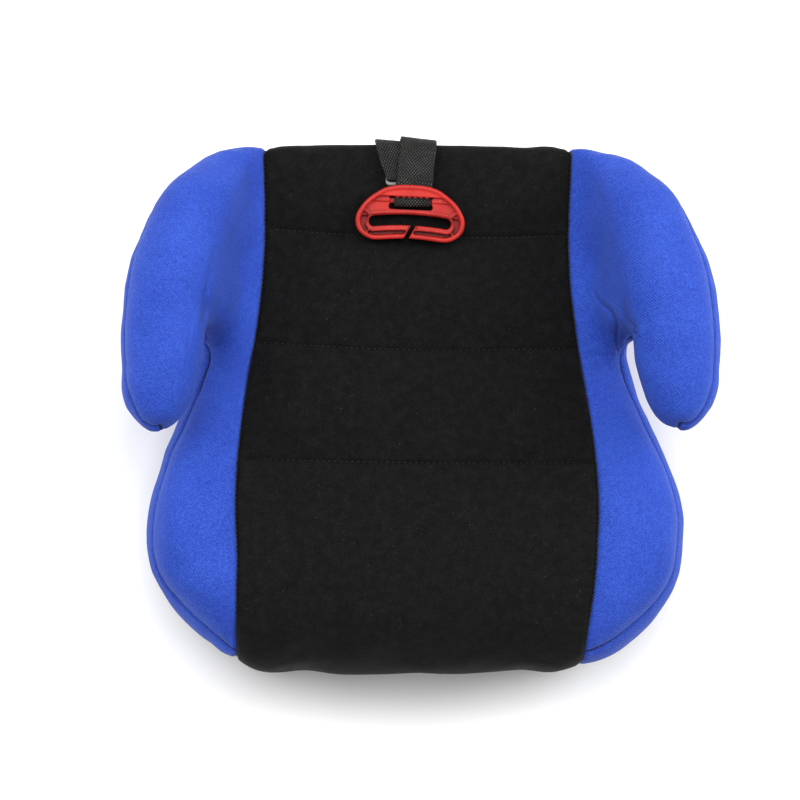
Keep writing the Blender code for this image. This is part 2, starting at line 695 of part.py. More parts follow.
def tilted(made, origin, turn, tilt):
    """Moves a flat part to its place; turn and tilt are in degrees."""
    place = (Matrix.Translation(Vector(origin) * MM)
             @ Matrix.Rotation(math.radians(tilt), 4, "X")
             @ Matrix.Rotation(math.radians(turn), 4, "Z")
             @ Matrix.Diagonal((1, -1, 1, 1)))
    made.data.transform(place)
    bm = bmesh.new()
    bm.from_mesh(made.data)
    bmesh.ops.recalc_face_normals(bm, faces=bm.faces)   # the flip in Y turns them inside out
    bm.to_mesh(made.data)
    bm.free()
    return made


def d_plan(grow=0.0):
    """D outline: straight across the front, one wide arc over the rear."""
    half, deep = 36.4 + grow, 39.6 + grow
    corner, bevel = 6.0, 1.8
    arc_depth, side_y = 24.5, 27
    plan = []
    for degrees in range(0, 181, 12):
        angle = math.radians(degrees)
        plan.append((half * math.cos(angle),
                     arc_depth - (arc_depth + grow) * math.sin(angle) ** 0.9))
    plan += [(-half, side_y), (-half, deep - corner), (-half + bevel, deep - bevel),
             (-half + corner, deep)]
    plan += [(half - corner, deep), (half - bevel, deep - bevel), (half, deep - corner),
             (half, side_y)]
    return plan


def build_belt_guide():
    guide = slab("belt_guide", d_plan(), 0.0, GUIDE_THICKNESS)
    cut(guide, slab("recess", d_plan(-3.6), 5.9, GUIDE_THROUGH[1]))
    join(guide, slab("rib", rounded(-29.6, 20.0, 29.6, 31.0, 5.4), 3.0, 7.0))
    cut(guide, slab("belt_slot", rounded(-27.5, 21.4, 27.5, 29.4, 3.9), *GUIDE_THROUGH))
    # Webbing passage: under the rear arc, round the cross bar, out through the slot.
    cut(guide, box("passage", (-14.6, -3.0, -1.0), (14.6, 8.9, 5.2)))
    cut(guide, slab("web_slot", rounded(-14.8, 8.5, 14.8, 17.0, 1.5, steps=2), *GUIDE_THROUGH))
    join(guide, box("cross_bar", (-18.0, 9.4, 1.9), (18.0, 13.0, 3.4)))
    # The slit that lets the vehicle belt into the long slot.
    slit = [(-0.5, 27.0), (3.0, 27.0), (-1.9, 42.0), (-5.4, 42.0)]
    cut(guide, slab("slit", slit, *GUIDE_THROUGH))
    finish(tilted(tidy(guide), **GUIDE_PLACE), RED_PLASTIC)


def build_strap_loop():
    path = [(LOOP_X, y, z) for y, z in LOOP_PATH]
    loop = ribbon("strap_loop", path, width=24.0, thickness=1.2)
    finish(tilted(tidy(loop), **GUIDE_PLACE), WEBBING)


def build_adjuster():
    """Flat plate with two cross slots."""
    slot_width = 2.0
    plate = slab("strap_adjuster", rounded(-15.5, 0.0, 15.5, 11.0, 2.0, steps=3), 0.0, 1.5)
    for y in (2.6, 6.6):
        plan = rounded(-12.6, y, 12.6, y + slot_width, 0.9, steps=2)
        cut(plate, slab("slot", plan, -1.0, 3.0))
    finish(tilted(tidy(plate), **ADJUSTER_PLACE), GREY_PLASTIC)


# ---------------------------------------------------------------- frame
FOLD = (177.5, 116.5)           # y, z of the strap's fold over the rear edge
GUIDE_PIVOT = (153.2, 122.9)    # y, z of the guide's pivot
PIVOTS = {"strap_lower_rear": FOLD, "strap_upper_rear": FOLD, "strap_tail": FOLD,
          "belt_guide": GUIDE_PIVOT, "strap_loop": GUIDE_PIVOT}


def set_frame():
    """Puts the origin at the bottom centre of the whole object's box, and sets the pivots.

    The strap stands proud at the rear, so everything moves forward a little.
    """
    ys = [v.co.y for made in bpy.data.objects for v in made.data.vertices]
    shift = Matrix.Translation((0, -(min(ys) + max(ys)) / 2, 0))
    for made in bpy.data.objects:
        made.data.transform(shift)
    # A moving piece has its origin on its joint's axis; the mesh stays where it is.
    for name, (y, z) in PIVOTS.items():
        made = bpy.data.objects[name]
        pivot = shift @ Vector((0, y * MM, z * MM))
        made.data.transform(Matrix.Translation(-pivot))
        made.location = pivot


build_cover()
build_foam()
build_shell()
build_hem_hooks()
build_hem_elastic()
build_anchor_bar()
build_rear_run()
build_seat_layers()
build_tail()
build_belt_guide()
build_strap_loop()
build_adjuster()
set_frame()
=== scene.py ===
import math

import bmesh
import bpy
import numpy as np
from mathutils import Matrix, Vector, noise
from mathutils.bvhtree import BVHTree


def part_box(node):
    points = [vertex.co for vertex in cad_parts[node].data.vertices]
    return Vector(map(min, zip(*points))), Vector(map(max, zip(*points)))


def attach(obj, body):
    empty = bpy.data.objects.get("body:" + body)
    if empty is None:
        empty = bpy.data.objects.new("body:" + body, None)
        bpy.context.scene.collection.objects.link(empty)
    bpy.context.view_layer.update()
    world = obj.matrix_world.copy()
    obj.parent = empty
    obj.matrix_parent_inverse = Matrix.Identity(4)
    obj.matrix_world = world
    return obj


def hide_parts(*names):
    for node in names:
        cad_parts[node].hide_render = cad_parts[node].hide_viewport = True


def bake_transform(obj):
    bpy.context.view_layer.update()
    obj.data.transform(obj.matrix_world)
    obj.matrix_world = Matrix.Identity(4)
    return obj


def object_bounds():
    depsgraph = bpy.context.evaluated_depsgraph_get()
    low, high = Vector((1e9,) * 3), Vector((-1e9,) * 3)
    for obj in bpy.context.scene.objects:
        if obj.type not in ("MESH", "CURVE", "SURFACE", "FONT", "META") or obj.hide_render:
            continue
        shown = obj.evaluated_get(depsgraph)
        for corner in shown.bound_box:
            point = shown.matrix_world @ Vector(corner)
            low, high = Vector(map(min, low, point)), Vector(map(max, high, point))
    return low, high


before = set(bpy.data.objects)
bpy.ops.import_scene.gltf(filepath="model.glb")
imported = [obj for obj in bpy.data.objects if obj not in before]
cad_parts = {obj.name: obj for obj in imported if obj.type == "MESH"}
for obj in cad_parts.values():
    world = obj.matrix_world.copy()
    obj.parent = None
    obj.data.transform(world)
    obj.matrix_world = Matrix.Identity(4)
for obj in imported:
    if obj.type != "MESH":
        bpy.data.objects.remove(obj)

CAD_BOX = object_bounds()
MM = 0.001
# The design tables below are in mm in the cushion's own frame; this carries them into the world.
CENTRE_LO, CENTRE_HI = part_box("cover_centre_panel")
OFF_Y = CENTRE_LO[1] * 1000 + 183.03
HEM_Z = CENTRE_LO[2] * 1000

# ------------------------------------------------------------------ design tables (mm)
OUTLINE = [(0, 182), (45, 181.8), (78, 180.5), (102, 176.5), (122, 168), (139, 154), (149, 135), (153, 112),
           (152.5, 88), (149.5, 66), (149, 45), (155.5, 18), (165.5, -13), (175, -36), (182.3, -58), (186, -82),
           (184.3, -104), (177, -125), (165, -142.5), (149, -157.5), (131, -169.5), (108, -178.5), (75, -182),
           (38, -183), (0, -183)]
CENTRE = [(-190, 103), (-150, 106), (-120, 107), (-80, 106), (-38, 104), (0, 102.5), (41, 102), (60, 102.3),
          (100, 104.5), (120, 107.5), (135, 112), (150, 116.5), (165, 119.8), (190, 121)]
BOLSTER = [(-190, 0), (-150, 4), (-110, 9), (-60, 9), (-25, 3), (0, -5), (20, -11), (45, -11), (62, -3), (90, 7),
           (130, 6), (160, 1), (190, -2)]
SEAM_X = [(-190, 118.5), (-167, 119), (-140, 119.5), (-100, 121), (-65, 122.5), (-30, 121.5), (4, 119), (25, 116.5),
          (52, 110.5), (87, 105.5), (122, 104), (190, 105.5)]
ARM = [(-24.0, 168.0, 177.0, 148.0, 164.0, 0.0),
       (-19.0, 160.5, 184.5, 138.8, 173.0, 0.0),
       (-8.0, 152.7, 192.6, 131.3, 181.0, 0.0),
       (12.0, 147.2, 199.4, 127.0, 187.4, 0.0),
       (44.0, 140.5, 201.3, 125.0, 190.2, 0.0),
       (56.0, 139.0, 200.7, 124.0, 190.1, 1.0),
       (84.0, 136.5, 195.8, 124.0, 188.3, 1.0),
       (110.0, 131.6, 186.4, 120.0, 182.3, 1.0),
       (133.0, 125.0, 173.8, 115.0, 172.4, 1.0),
       (152.0, 117.0, 156.0, 107.0, 156.4, 1.0),
       (166.0, 107.5, 134.5, 98.0, 138.3, 1.0),
       (174.0, 101.0, 115.0, 92.0, 121.0, 1.0)]
WIDE_Z = 82.0


# ------------------------------------------------------------------ curves
def spline(table, t, column=1):
    """Catmull-Rom through a table sorted by its first column, for arrays."""
    tab = np.array(table, float)
    xs, ys = tab[:, 0], tab[:, column]
    m = np.gradient(ys, xs)
    m[1:-1] = (ys[2:] - ys[:-2]) / (xs[2:] - xs[:-2])
    t = np.clip(np.asarray(t, float), xs[0], xs[-1])
    i = np.clip(np.searchsorted(xs, t, side="right") - 1, 0, len(xs) - 2)
    h = xs[i + 1] - xs[i]
    u = (t - xs[i]) / h
    return ((2 * u ** 3 - 3 * u ** 2 + 1) * ys[i] + (u ** 3 - 2 * u ** 2 + u) * h * m[i]
            + (-2 * u ** 3 + 3 * u ** 2) * ys[i + 1] + (u ** 3 - u ** 2) * h * m[i + 1])


def step(u):
    u = np.clip(u, 0, 1)
    return u * u * (3 - 2 * u)


def smin(a, b, k):
    h = np.clip(0.5 + 0.5 * (b - a) / k, 0, 1)
    return b + (a - b) * h - k * h * (1 - h)


def smax(a, b, k):
    return -smin(-a, -b, k)


def surface(x, y):
    a = np.abs(x)
    dish = 4.0 * np.minimum(1.0, a / 100.0) ** 2
    return spline(CENTRE, y) + dish * step((185 - y) / 60) + spline(BOLSTER, y) * step((a - 92) / 50)


def side_x(y):
    rows = sorted((b, a) for a, b in OUTLINE)
    return spline(rows, y)


def closed_outline(count):
    ring = OUTLINE + [(-x, y) for x, y in reversed(OUTLINE[1:-1])]
    n, dense = len(ring), []
    for i in range(n):
        p0, p1, p2, p3 = (np.array(ring[(i + k) % n], float) for k in (-1, 0, 1, 2))
        for s in range(24):
            u = s / 24
            dense.append(0.5 * (2 * p1 + (p2 - p0) * u + (2 * p0 - 5 * p1 + 4 * p2 - p3) * u * u
                                + (3 * p1 - p0 - 3 * p2 + p3) * u ** 3))
    dense = np.array(dense)
    for _ in range(40):      # softens the corners of the spline
        dense = 0.5 * dense + 0.25 * (np.roll(dense, 1, 0) + np.roll(dense, -1, 0))
    length = np.linalg.norm(np.roll(dense, -1, 0) - dense, axis=1)
    along = np.concatenate([[0], np.cumsum(length)])
    loop = np.vstack([dense, dense[:1]])
    at = np.linspace(0, along[-1], count, endpoint=False)
    take = lambda s: np.stack([np.interp(s % along[-1], along, loop[:, k]) for k in (0, 1)], 1)
    points = take(at)
    tangent = take(at + 5) - take(at - 5)
    tangent /= np.linalg.norm(tangent, axis=1)[:, None]
    return points, np.stack([-tangent[:, 1], tangent[:, 0]], 1)


# ------------------------------------------------------------------ mesh helpers
def mesh_object(name, verts, faces, smooth=True, world=True):
    """verts in design mm. Faces: array of triangles or quads, or a list of tuples."""
    v = np.array(verts, float)
    if world:
        v = v + (0, OFF_Y, 0)
    mesh = bpy.data.meshes.new(name)
    mesh.from_pydata((v * MM).tolist(), [], [tuple(map(int, f)) for f in faces])
    mesh.validate()
    if smooth:
        mesh.shade_smooth()
    made = bpy.data.objects.new(name, mesh)
    bpy.context.scene.collection.objects.link(made)
    return made


def get_verts(obj):
    v = np.empty(len(obj.data.vertices) * 3, np.float64)
    f32 = np.empty(len(v), np.float32)
    obj.data.vertices.foreach_get("co", f32)
    v[:] = f32
    return v.reshape(-1, 3) / MM - (0, OFF_Y, 0)


def set_verts(obj, v):
    co = ((v + (0, OFF_Y, 0)) * MM).astype(np.float32).ravel()
    obj.data.vertices.foreach_set("co", co)
    obj.data.update()


def loft_rings(rings, caps=True):
    n = len(rings[0])
    verts = np.vstack(rings)
    faces = [(i * n + j, (i + 1) * n + j, (i + 1) * n + (j + 1) % n, i * n + (j + 1) % n)
             for i in range(len(rings) - 1) for j in range(n)]
    if caps:
        faces.append(tuple(range(n)))
        faces.append(tuple((len(rings) - 1) * n + j for j in range(n))[::-1])
    return verts, faces


def outward(obj):
    bm = bmesh.new()
    bm.from_mesh(obj.data)
    bmesh.ops.triangulate(bm, faces=[f for f in bm.faces if len(f.verts) > 4])
    bmesh.ops.recalc_face_normals(bm, faces=bm.faces)
    bm.to_mesh(obj.data)
    bm.free()
    return obj


def apply_modifiers(obj):
    graph = bpy.context.evaluated_depsgraph_get()
    graph.update()
    mesh = bpy.data.meshes.new_from_object(obj.evaluated_get(graph), depsgraph=graph)
    old = obj.data
    obj.modifiers.clear()
    obj.data = mesh
    bpy.data.meshes.remove(old)
    return obj


# ------------------------------------------------------------------ the two forms
def cushion_form():
    points, normal = closed_outline(260)
    radius = 26 + 16 * np.maximum(0, -normal[:, 1]) ** 2 - 18 * np.maximum(0, normal[:, 1]) ** 2
    rings = []
    for z, inset in ((HEM_Z, 6.0), (30, 4.9), (36, 4.0), (42, 3.3), (50, 2.2), (58, 1.3), (66, 0.6), (74, 0.15), (WIDE_Z, 0.0)):
        q = points - normal * inset
        rings.append(np.column_stack([q, np.full(len(q), z)]))
    for share in (0.015, 0.05, 0.1, 0.17, 0.26, 0.36, 0.47, 0.6, 0.73, 0.87, 1.0):
        roll = math.sqrt(1 - (1 - share) ** 2)
        q = points - normal * (radius * share)[:, None]
        rings.append(np.column_stack([q, WIDE_Z + (surface(q[:, 0], q[:, 1]) - WIDE_Z) * roll]))
    inner = points - normal * radius[:, None]
    spine = np.stack([inner[:, 0] * 0, inner[:, 1] * 0.9], 1)
    for share in np.linspace(0.08, 1.0, 15)[:-1]:
        q = inner + (spine - inner) * share
        rings.append(np.column_stack([q, surface(q[:, 0], q[:, 1])]))
    verts, faces = loft_rings(rings, caps=False)
    n = len(points)
    for base, flip in ((0, 1), ((len(rings) - 1) * n, -1)):
        cap = [(i, i + 1, n - i - 1, n - i)[::flip] for i in range(1, n // 2 - 1)]
        cap += [(0, 1, n - 1)[::flip], (n // 2 - 1, n // 2, n // 2 + 1)[::flip]]
        faces += [tuple(base + k for k in f) for f in cap]
    return outward(mesh_object("cushion_form", verts, faces))


def arm_section(y, xi, xo, zb, zt, flare, size=1.0):
    xc, a = (xi + xo) / 2, (xo - xi) / 2 * size
    zc, b = (zb + zt) / 2, (zt - zb) / 2 * size
    out = []
    for t in np.radians(np.linspace(0, 180, 25)):
        c, s = math.cos(t), math.sin(t)
        out.append((xc + a * math.copysign(abs(c) ** 0.88, c), y, zc + b * abs(s) ** 0.88))
    low_i, low_o = xi - 40, float(side_x(y)) - 18
    ks = np.linspace(0, 1, 16)[1:]
    for k in ks:
        t = math.radians(180 + 86 * k)
        bx, bz = xc + a * math.cos(t), zc + b * math.sin(t)
        x, z = xi + (low_i - xi) * (k ** 1.15), zc + (56 - zc) * k
        out.append((bx + (x - bx) * flare, y, bz + (z - bz) * flare))
    for k in ks[::-1]:
        t = math.radians(360 - 86 * k)
        bx, bz = xc + a * math.cos(t), zc + b * math.sin(t)
        x, z = xo + (low_o - xo) * (k ** 1.3), zc + (56 - zc) * k
        out.append((bx + (x - bx) * flare, y, bz + (z - bz) * flare))
    return np.array(out)


def arm_row(y):
    row = [float(spline(ARM, y, k)) for k in range(1, 5)]
    return (*row, float(step((y - 43.0) / 13.0)))


def arm_form(side):
    rings = []
    for k in (0.25, 0.55, 0.8, 0.94):                # rounded nose of the horn
        a = math.acos(k)
        rings.append(arm_section(-24.0 - 1.6 * math.sin(a), *arm_row(-24.0), size=k))
    stations = list(np.arange(-24.0, -8, 1.6)) + list(np.arange(-8, 42, 3.5)) + list(np.arange(42, 58, 1.6)) + \
        list(np.arange(58, 168, 3.8)) + [168.0, 171.0, 174.0]
    for y in stations:
        rings.append(arm_section(y, *arm_row(y)))
    verts, faces = loft_rings(rings)
    verts[:, 0] *= side
    return outward(mesh_object("arm_form", verts, faces))


def body_form(voxel):
    """Both forms as one even quad mesh."""
    parts = [cushion_form(), arm_form(1), arm_form(-1)]
    bm = bmesh.new()
    for part in parts:
        bm.from_mesh(part.data)
    mesh = bpy.data.meshes.new("body_form")
    bm.to_mesh(mesh)
    bm.free()
    for part in parts:
        bpy.data.objects.remove(part)
    obj = bpy.data.objects.new("body_form", mesh)
    bpy.context.scene.collection.objects.link(obj)
    m = obj.modifiers.new("even", "REMESH")
    m.mode = "VOXEL"
    m.voxel_size = voxel * MM
    m.adaptivity = 0.0
    return apply_modifiers(obj)


def settle(p):
    """How the sewn cover sits against the drawn form: full at the rear edge, drawn in at the front corners."""
    x, y, z = p.T
    a = np.abs(x)
    out = p.copy()
    rear = step((y - 146) / 26) * step((z - 84) / 26) * step((168 - a) / 24)
    wide = step((a - 40) / 70)
    out[:, 1] += (4.8 + 0.8 * wide) * rear
    out[:, 2] += (2.6 + 1.6 * wide) * rear * step((124 - a) / 20)
    front = step((-120 - y) / 60)
    out[:, 1] += (4.6 - 4.6 * step((a - 70) / 50)) * front
    corner = step((-95 - y) / 55) * step((a - 85) / 60)
    out[:, 0] += np.where(x < 0, 8.0 * (1 - 0.75 * step((-158 - y) / 14)), -1.6) * corner
    flank = step((a - 150) / 35) * step((y + 30) / 50) * step((118 - y) / 60)
    out[:, 0] += np.where(x < 0, 2.8, -1.2) * flank
    shoulder = step((a - 112) / 40) * step((y - 104) / 40) * step((z - 96) / 24)
    out[:, 0] += np.where(x < 0, -2.2, 3.6) * shoulder
    out[:, 1] += np.where(x < 0, 3.6, 5.0) * shoulder
    haunch = step((a - 135) / 30) * step((-20 - y) / 30) * step((y + 125) / 30) * step((120 - z) / 8)
    out[:, 0] += np.where(x < 0, 2.6, -1.8 * step((-70 - y) / 20)) * haunch
    nose = step((a - 135) / 30) * step((18 - y) / 20) * step((z - 116) / 10)
    out[:, 0] += np.where(x < 0, -2.6, 1.6) * nose
    out[:, 1] += np.where(x < 0, -3.6, 0.0) * nose
    gap = step((150 - a) / 8) * step((a - 124) / 8) * step((64 - y) / 12) * step((y + 10) / 20) * (x < 0)
    out[:, 0] += (1.2 * step((117 - z) / 6) - 2.6 * step((z - 119) / 6)) * gap
    side = step((a - 70) / 25) * step((130 - a) / 20) * step((y - 140) / 26) * step((z - 84) / 26)
    out[:, 1] += np.where(x < 0, 0.6, 2.8) * side
    return out


class Net:
    """Edges of a mesh, for smoothing in numpy."""

    def __init__(self, obj):
        e = np.empty(len(obj.data.edges) * 2, np.int32)
        obj.data.edges.foreach_get("vertices", e)
        self.e = e.reshape(-1, 2)
        self.n = len(obj.data.vertices)
        self.deg = np.bincount(self.e.ravel(), minlength=self.n).astype(float)

    def mean(self, f):
        out = np.zeros_like(f)
        np.add.at(out, self.e[:, 0], f[self.e[:, 1]])
        np.add.at(out, self.e[:, 1], f[self.e[:, 0]])
        return out / (self.deg[:, None] if f.ndim == 2 else self.deg)

    def relax(self, v, times, weight):
        for _ in range(times):
            v = v + (self.mean(v) - v) * (weight[:, None] * 0.6)
        return v


def normals_of(obj):
    n = np.empty(len(obj.data.vertices) * 3, np.float32)
    obj.data.vertices.foreach_get("normal", n)
    return n.reshape(-1, 3).astype(float)


# ------------------------------------------------------------------ seams, as functions of the unpuffed form (mm)
def seam_x(x, y, z):
    """Distance of the centre seam from the mid-plane. The cover sits a little skewed at the front."""
    s = spline(SEAM_X, y)
    front = step((-100 - y) / 70)
    down = step((95 - z) / 60)
    return s + np.where(x < 0, 5.0, -5.0) * front * 0.8 + np.where(x < 0, 2.0, -2.0) * down * front


def quilt_lines(x):
    """y of the three stitched channels across the centre panel."""
    bow = (x / 110.0) ** 2
    return [119.5 + 2.6 * bow - 0.012 * x, 40.5 + 3.0 * bow - 0.010 * x, -38.8 + 0.8 * bow - 0.006 * x]


def base_seam_z(y):
    return spline([(-200, 95), (-150, 97), (-120, 99), (-70, 99.5), (-25, 96), (10, 90.5), (35, 88.5), (50, 89), (56, 90), (200, 90)], y)


def outer_seam_z(y):
    return spline([(-30, 160), (-22, 164), (-14, 168.5), (0, 172.5), (25, 175.5), (60, 176), (94, 172.5), (113, 166.5),
                   (130, 158.5), (145, 148), (157, 136), (166, 123), (174, 110), (190, 104)], y)


def haunch_mid_x(y, z):
    """Middle of the haunch between its inner and outer walls."""
    xi, xo = spline(ARM, y, 1), spline(ARM, y, 2)
    zc = (spline(ARM, y, 3) + spline(ARM, y, 4)) / 2
    k = np.clip((zc - z) / (zc - 56), 0, 1)
    inner = xi - 40 * k ** 1.15
    outer = xo + (side_x(y) - 18 - xo) * k ** 1.3
    return 0.42 * inner + 0.58 * outer


def under_function(a, y, z):
    """Positive on the gusset under the horn and down the haunch's front face."""
    xu = 144 + (z - 90) * 0.22 + 6.0 * step((18 - y) / 40)
    xv = 149 + (z - 90) * 0.50
    low = 117 - 24 * step((y - 43) / 6.5)
    return np.minimum.reduce([a - xu, xv - a, 141 - z, z - low, 57 - y, y + 33])


def skirt_function(a, y, z, left=0.0):
    cushion = base_seam_z(y) - 4.5 * left * step((-12 - y) / 30) - z
    mid = np.where(y < 56, 171.0 + 0 * y, haunch_mid_x(y, z))
    horn = np.minimum(a - mid, outer_seam_z(y) - 9.0 * left * step((y + 14) / 30) - z)
    horn = np.where((y < -36) | ((y < 56) & (z < 116 - 22 * step((y - 44) / 8))), -9.0, horn)
    return np.maximum(cushion, horn)


def rear_function(x, y, z):
    return np.minimum(y - 165, 109.5 - 2.5 * (x / 105) ** 2 - z)


# ------------------------------------------------------------------ lattice noise
_rng = np.random.RandomState(7)
_table = _rng.rand(64, 64, 64).astype(np.float32) * 2 - 1


def lattice(p, scale, seed=0.0):
    q = p / scale + 100.0 + seed * 17.31
    i = np.floor(q).astype(int)
    f = q - i
    f = f * f * (3 - 2 * f)
    out = 0
    for dx in (0, 1):
        for dy in (0, 1):
            for dz in (0, 1):
                w = ((f[:, 0] if dx else 1 - f[:, 0]) * (f[:, 1] if dy else 1 - f[:, 1]) * (f[:, 2] if dz else 1 - f[:, 2]))
                out = out + w * _table[(i[:, 0] + dx) % 64, (i[:, 1] + dy) % 64, (i[:, 2] + dz) % 64]
    return out


# ------------------------------------------------------------------ cutting a mesh along f = 0
class Sheet:
    """Triangles with per-vertex attributes, cut into labelled panels that share their seam points."""

    def __init__(self, attrs, tris):
        self.attrs = attrs                   # dict of (n, k) arrays
        self.t = tris
        self.label = np.zeros(len(tris), int)
        self.seams = {}

    def split(self, f, labels, new_label, seam, snap=0.16):
        """In faces whose label is in labels, the side with f > 0 becomes new_label."""
        f = np.array(f, float)
        inside = np.isin(self.label, labels)
        t = self.t[inside]
        e = np.unique(np.sort(np.concatenate([t[:, [0, 1]], t[:, [1, 2]], t[:, [2, 0]]]), axis=1), axis=0)
        fa, fb = f[e[:, 0]], f[e[:, 1]]
        cross = fa * fb < 0
        u = np.where(cross, fa / np.where(cross, fa - fb, 1), 0)
        near_a, near_b = cross & (u < snap), cross & (u > 1 - snap)
        f[e[near_a, 0]] = 0
        f[e[near_b, 1]] = 0
        fa, fb = f[e[:, 0]], f[e[:, 1]]
        cross = fa * fb < 0
        e, fa, fb = e[cross], fa[cross], fb[cross]
        u = (fa / (fa - fb))[:, None]
        base = len(f)
        for key, val in self.attrs.items():
            self.attrs[key] = np.vstack([val, val[e[:, 0]] * (1 - u) + val[e[:, 1]] * u])
        f = np.concatenate([f, np.zeros(len(e))])
        index = {(int(a), int(b)): base + k for k, (a, b) in enumerate(e)}
        keep_t, keep_l = [], []
        sign = np.sign(f[self.t])
        lo, hi = sign.min(1), sign.max(1)
        plain = ~inside | (lo * hi >= 0)
        lab = self.label.copy()
        pos = inside & plain & (hi > 0)
        lab[pos] = new_label
        keep_t.append(self.t[plain])
        keep_l.append(lab[plain])
        new_t, new_l = [], []
        for tri, old in zip(self.t[~plain], self.label[~plain]):
            s = np.sign(f[tri])
            # turn the triangle until its odd corner comes first
            if (s == 0).any():
                k = int(np.where(s == 0)[0][0])
                a, b, c = tri[k], tri[(k + 1) % 3], tri[(k + 2) % 3]
                m = index[(min(b, c), max(b, c))]
                new_t += [(a, b, m), (a, m, c)]
                new_l += [new_label if f[b] > 0 else old, new_label if f[c] > 0 else old]
            else:
                k = int(np.where(s == -np.sign(s.sum()))[0][0])
                a, b, c = tri[k], tri[(k + 1) % 3], tri[(k + 2) % 3]
                m, n = index[(min(a, b), max(a, b))], index[(min(a, c), max(a, c))]
                new_t += [(a, m, n), (m, b, c), (m, c, n)]
                one, two = (new_label, old) if f[a] > 0 else (old, new_label)
                new_l += [one, two, two]
        if new_t:
            keep_t.append(np.array(new_t))
            keep_l.append(np.array(new_l))
        self.t = np.vstack(keep_t)
        self.label = np.concatenate(keep_l)
        # seam points: vertices shared by both labels
        both = np.zeros(len(f), int)
        for lab_set, bit in ((labels, 1), ([new_label], 2)):
            both[np.unique(self.t[np.isin(self.label, lab_set)])] |= bit
        self.seams[seam] = np.where((both == 3) & (f == 0))[0]


def drop_islands(sheet, least=400):
    """Small patches cut off by accident join the panel around them."""
    for lab in np.unique(sheet.label):
        sel = np.where(sheet.label == lab)[0]
        t = sheet.t[sel]
        verts, inv = np.unique(t, return_inverse=True)
        inv = inv.reshape(-1, 3)
        root = np.arange(len(verts))
        for _ in range(200):
            low = root[inv].min(1)
            new = root.copy()
            np.minimum.at(new, inv.ravel(), np.repeat(low, 3))
            new = new[new]
            if (new == root).all():
                break
            root = new
        face_root = root[inv[:, 0]]
        ids, count = np.unique(face_root, return_counts=True)
        for r, c in zip(ids, count):
            if c < least and c < count.max():
                patch = sel[face_root == r]
                around = np.unique(sheet.t[patch])
                touch = np.isin(sheet.t, around).any(1) & (sheet.label != lab)
                if touch.any():
                    sheet.label[patch] = np.bincount(sheet.label[touch]).argmax()


# ------------------------------------------------------------------ sewn cover
print("cover: form")
VOXEL = 5.2
body = body_form(VOXEL)
net = Net(body)
v = get_verts(body)
ones = np.ones(len(v))
hem = step((34 - v[:, 2]) / 8)
v = net.relax(v, 4, 1 - hem)
for _ in range(40):                       # rounds the inner corners, as stretched fabric does
    set_verts(body, v)
    lap = net.mean(v) - v
    inward = np.einsum("ij,ij->i", lap, normals_of(body))
    w = np.clip(inward / 0.25, 0, 1) * (1 - hem)
    v = v + lap * (net.mean(w) * 0.7)[:, None]
v = settle(v)
set_verts(body, v)
rest = get_verts(body)

# the flat bottom goes; the cover is open underneath
bm = bmesh.new()
bm.from_mesh(body.data)
low = [f for f in bm.faces if all(c.co.z < (HEM_Z + 3.2) * MM for c in f.verts) and abs(f.normal.z) > 0.6]
bmesh.ops.delete(bm, geom=low, context="FACES")
loose = [q for q in bm.verts if not q.link_faces]
bmesh.ops.delete(bm, geom=loose, context="VERTS")
bm.to_mesh(body.data)
bm.free()
net = Net(body)
rest = get_verts(body)


def seam_distance(p):
    """Rough distance to the nearest seam or channel, for pinning the cloth."""
    x, y, z = p.T
    a = np.abs(x)
    near = np.full(len(p), 60.0)
    top = a < 132
    near = np.where(top, np.minimum(near, np.abs(a - seam_x(x, y, z))), near)
    for line in quilt_lines(x):
        near = np.where((a < seam_x(x, y, z)) & (z > 92), np.minimum(near, np.abs(y - line)), near)
    on_base = (z < 112) & (y < 54) & (a > 100)
    near = np.where(on_base, np.minimum(near, np.abs(z - base_seam_z(y))), near)
    horn = (z > 110) & (a > 150)
    near = np.where(horn, np.minimum(near, np.abs(z - outer_seam_z(y)) + np.maximum(0, 165 - a) * (y < 60)), near)
    near = np.where((a < 105) & (y > 160), np.minimum(near, np.abs(z - 108)), near)
    near = np.minimum(near, np.maximum(0, z - HEM_Z))
    return near


def simulate(obj, base):
    """The cover is blown out between its seams, then each point's travel is capped."""
    pin = obj.vertex_groups.new(name="pin")
    d = seam_distance(base)
    w = np.clip(1.0 - (d - 2.5) / 8.0, 0.06, 1.0)
    for k in range(len(base)):
        pin.add([k], float(w[k]), "REPLACE")
    cloth = obj.modifiers.new("cloth", "CLOTH")
    s = cloth.settings
    s.quality = 6
    s.mass = 0.25
    s.tension_stiffness = 12
    s.compression_stiffness = 12
    s.shear_stiffness = 5
    s.bending_stiffness = 0.4
    s.use_pressure = True
    s.uniform_pressure_force = 3.2
    s.shrink_min = -0.035
    s.vertex_group_mass = "pin"
    s.pin_stiffness = 1.0
    s.effector_weights.gravity = 0.0
    cloth.collision_settings.use_collision = False
    cloth.collision_settings.use_self_collision = False
    cloth.point_cache.frame_start, cloth.point_cache.frame_end = 1, 22
    for f in range(1, 23):
        bpy.context.scene.frame_set(f)
    apply_modifiers(obj)
    bpy.context.scene.frame_set(1)
    moved = get_verts(obj) - base
    far = np.linalg.norm(moved, axis=1)
    cap = 5.5
    moved *= (cap * np.tanh(far / cap) / np.maximum(far, 1e-6))[:, None]
    net = Net(obj)                                  # the cover is drawn taut: only the broad swell stays
    for _ in range(7):
        moved = moved + (net.mean(moved) - moved) * 0.5
    return base + moved


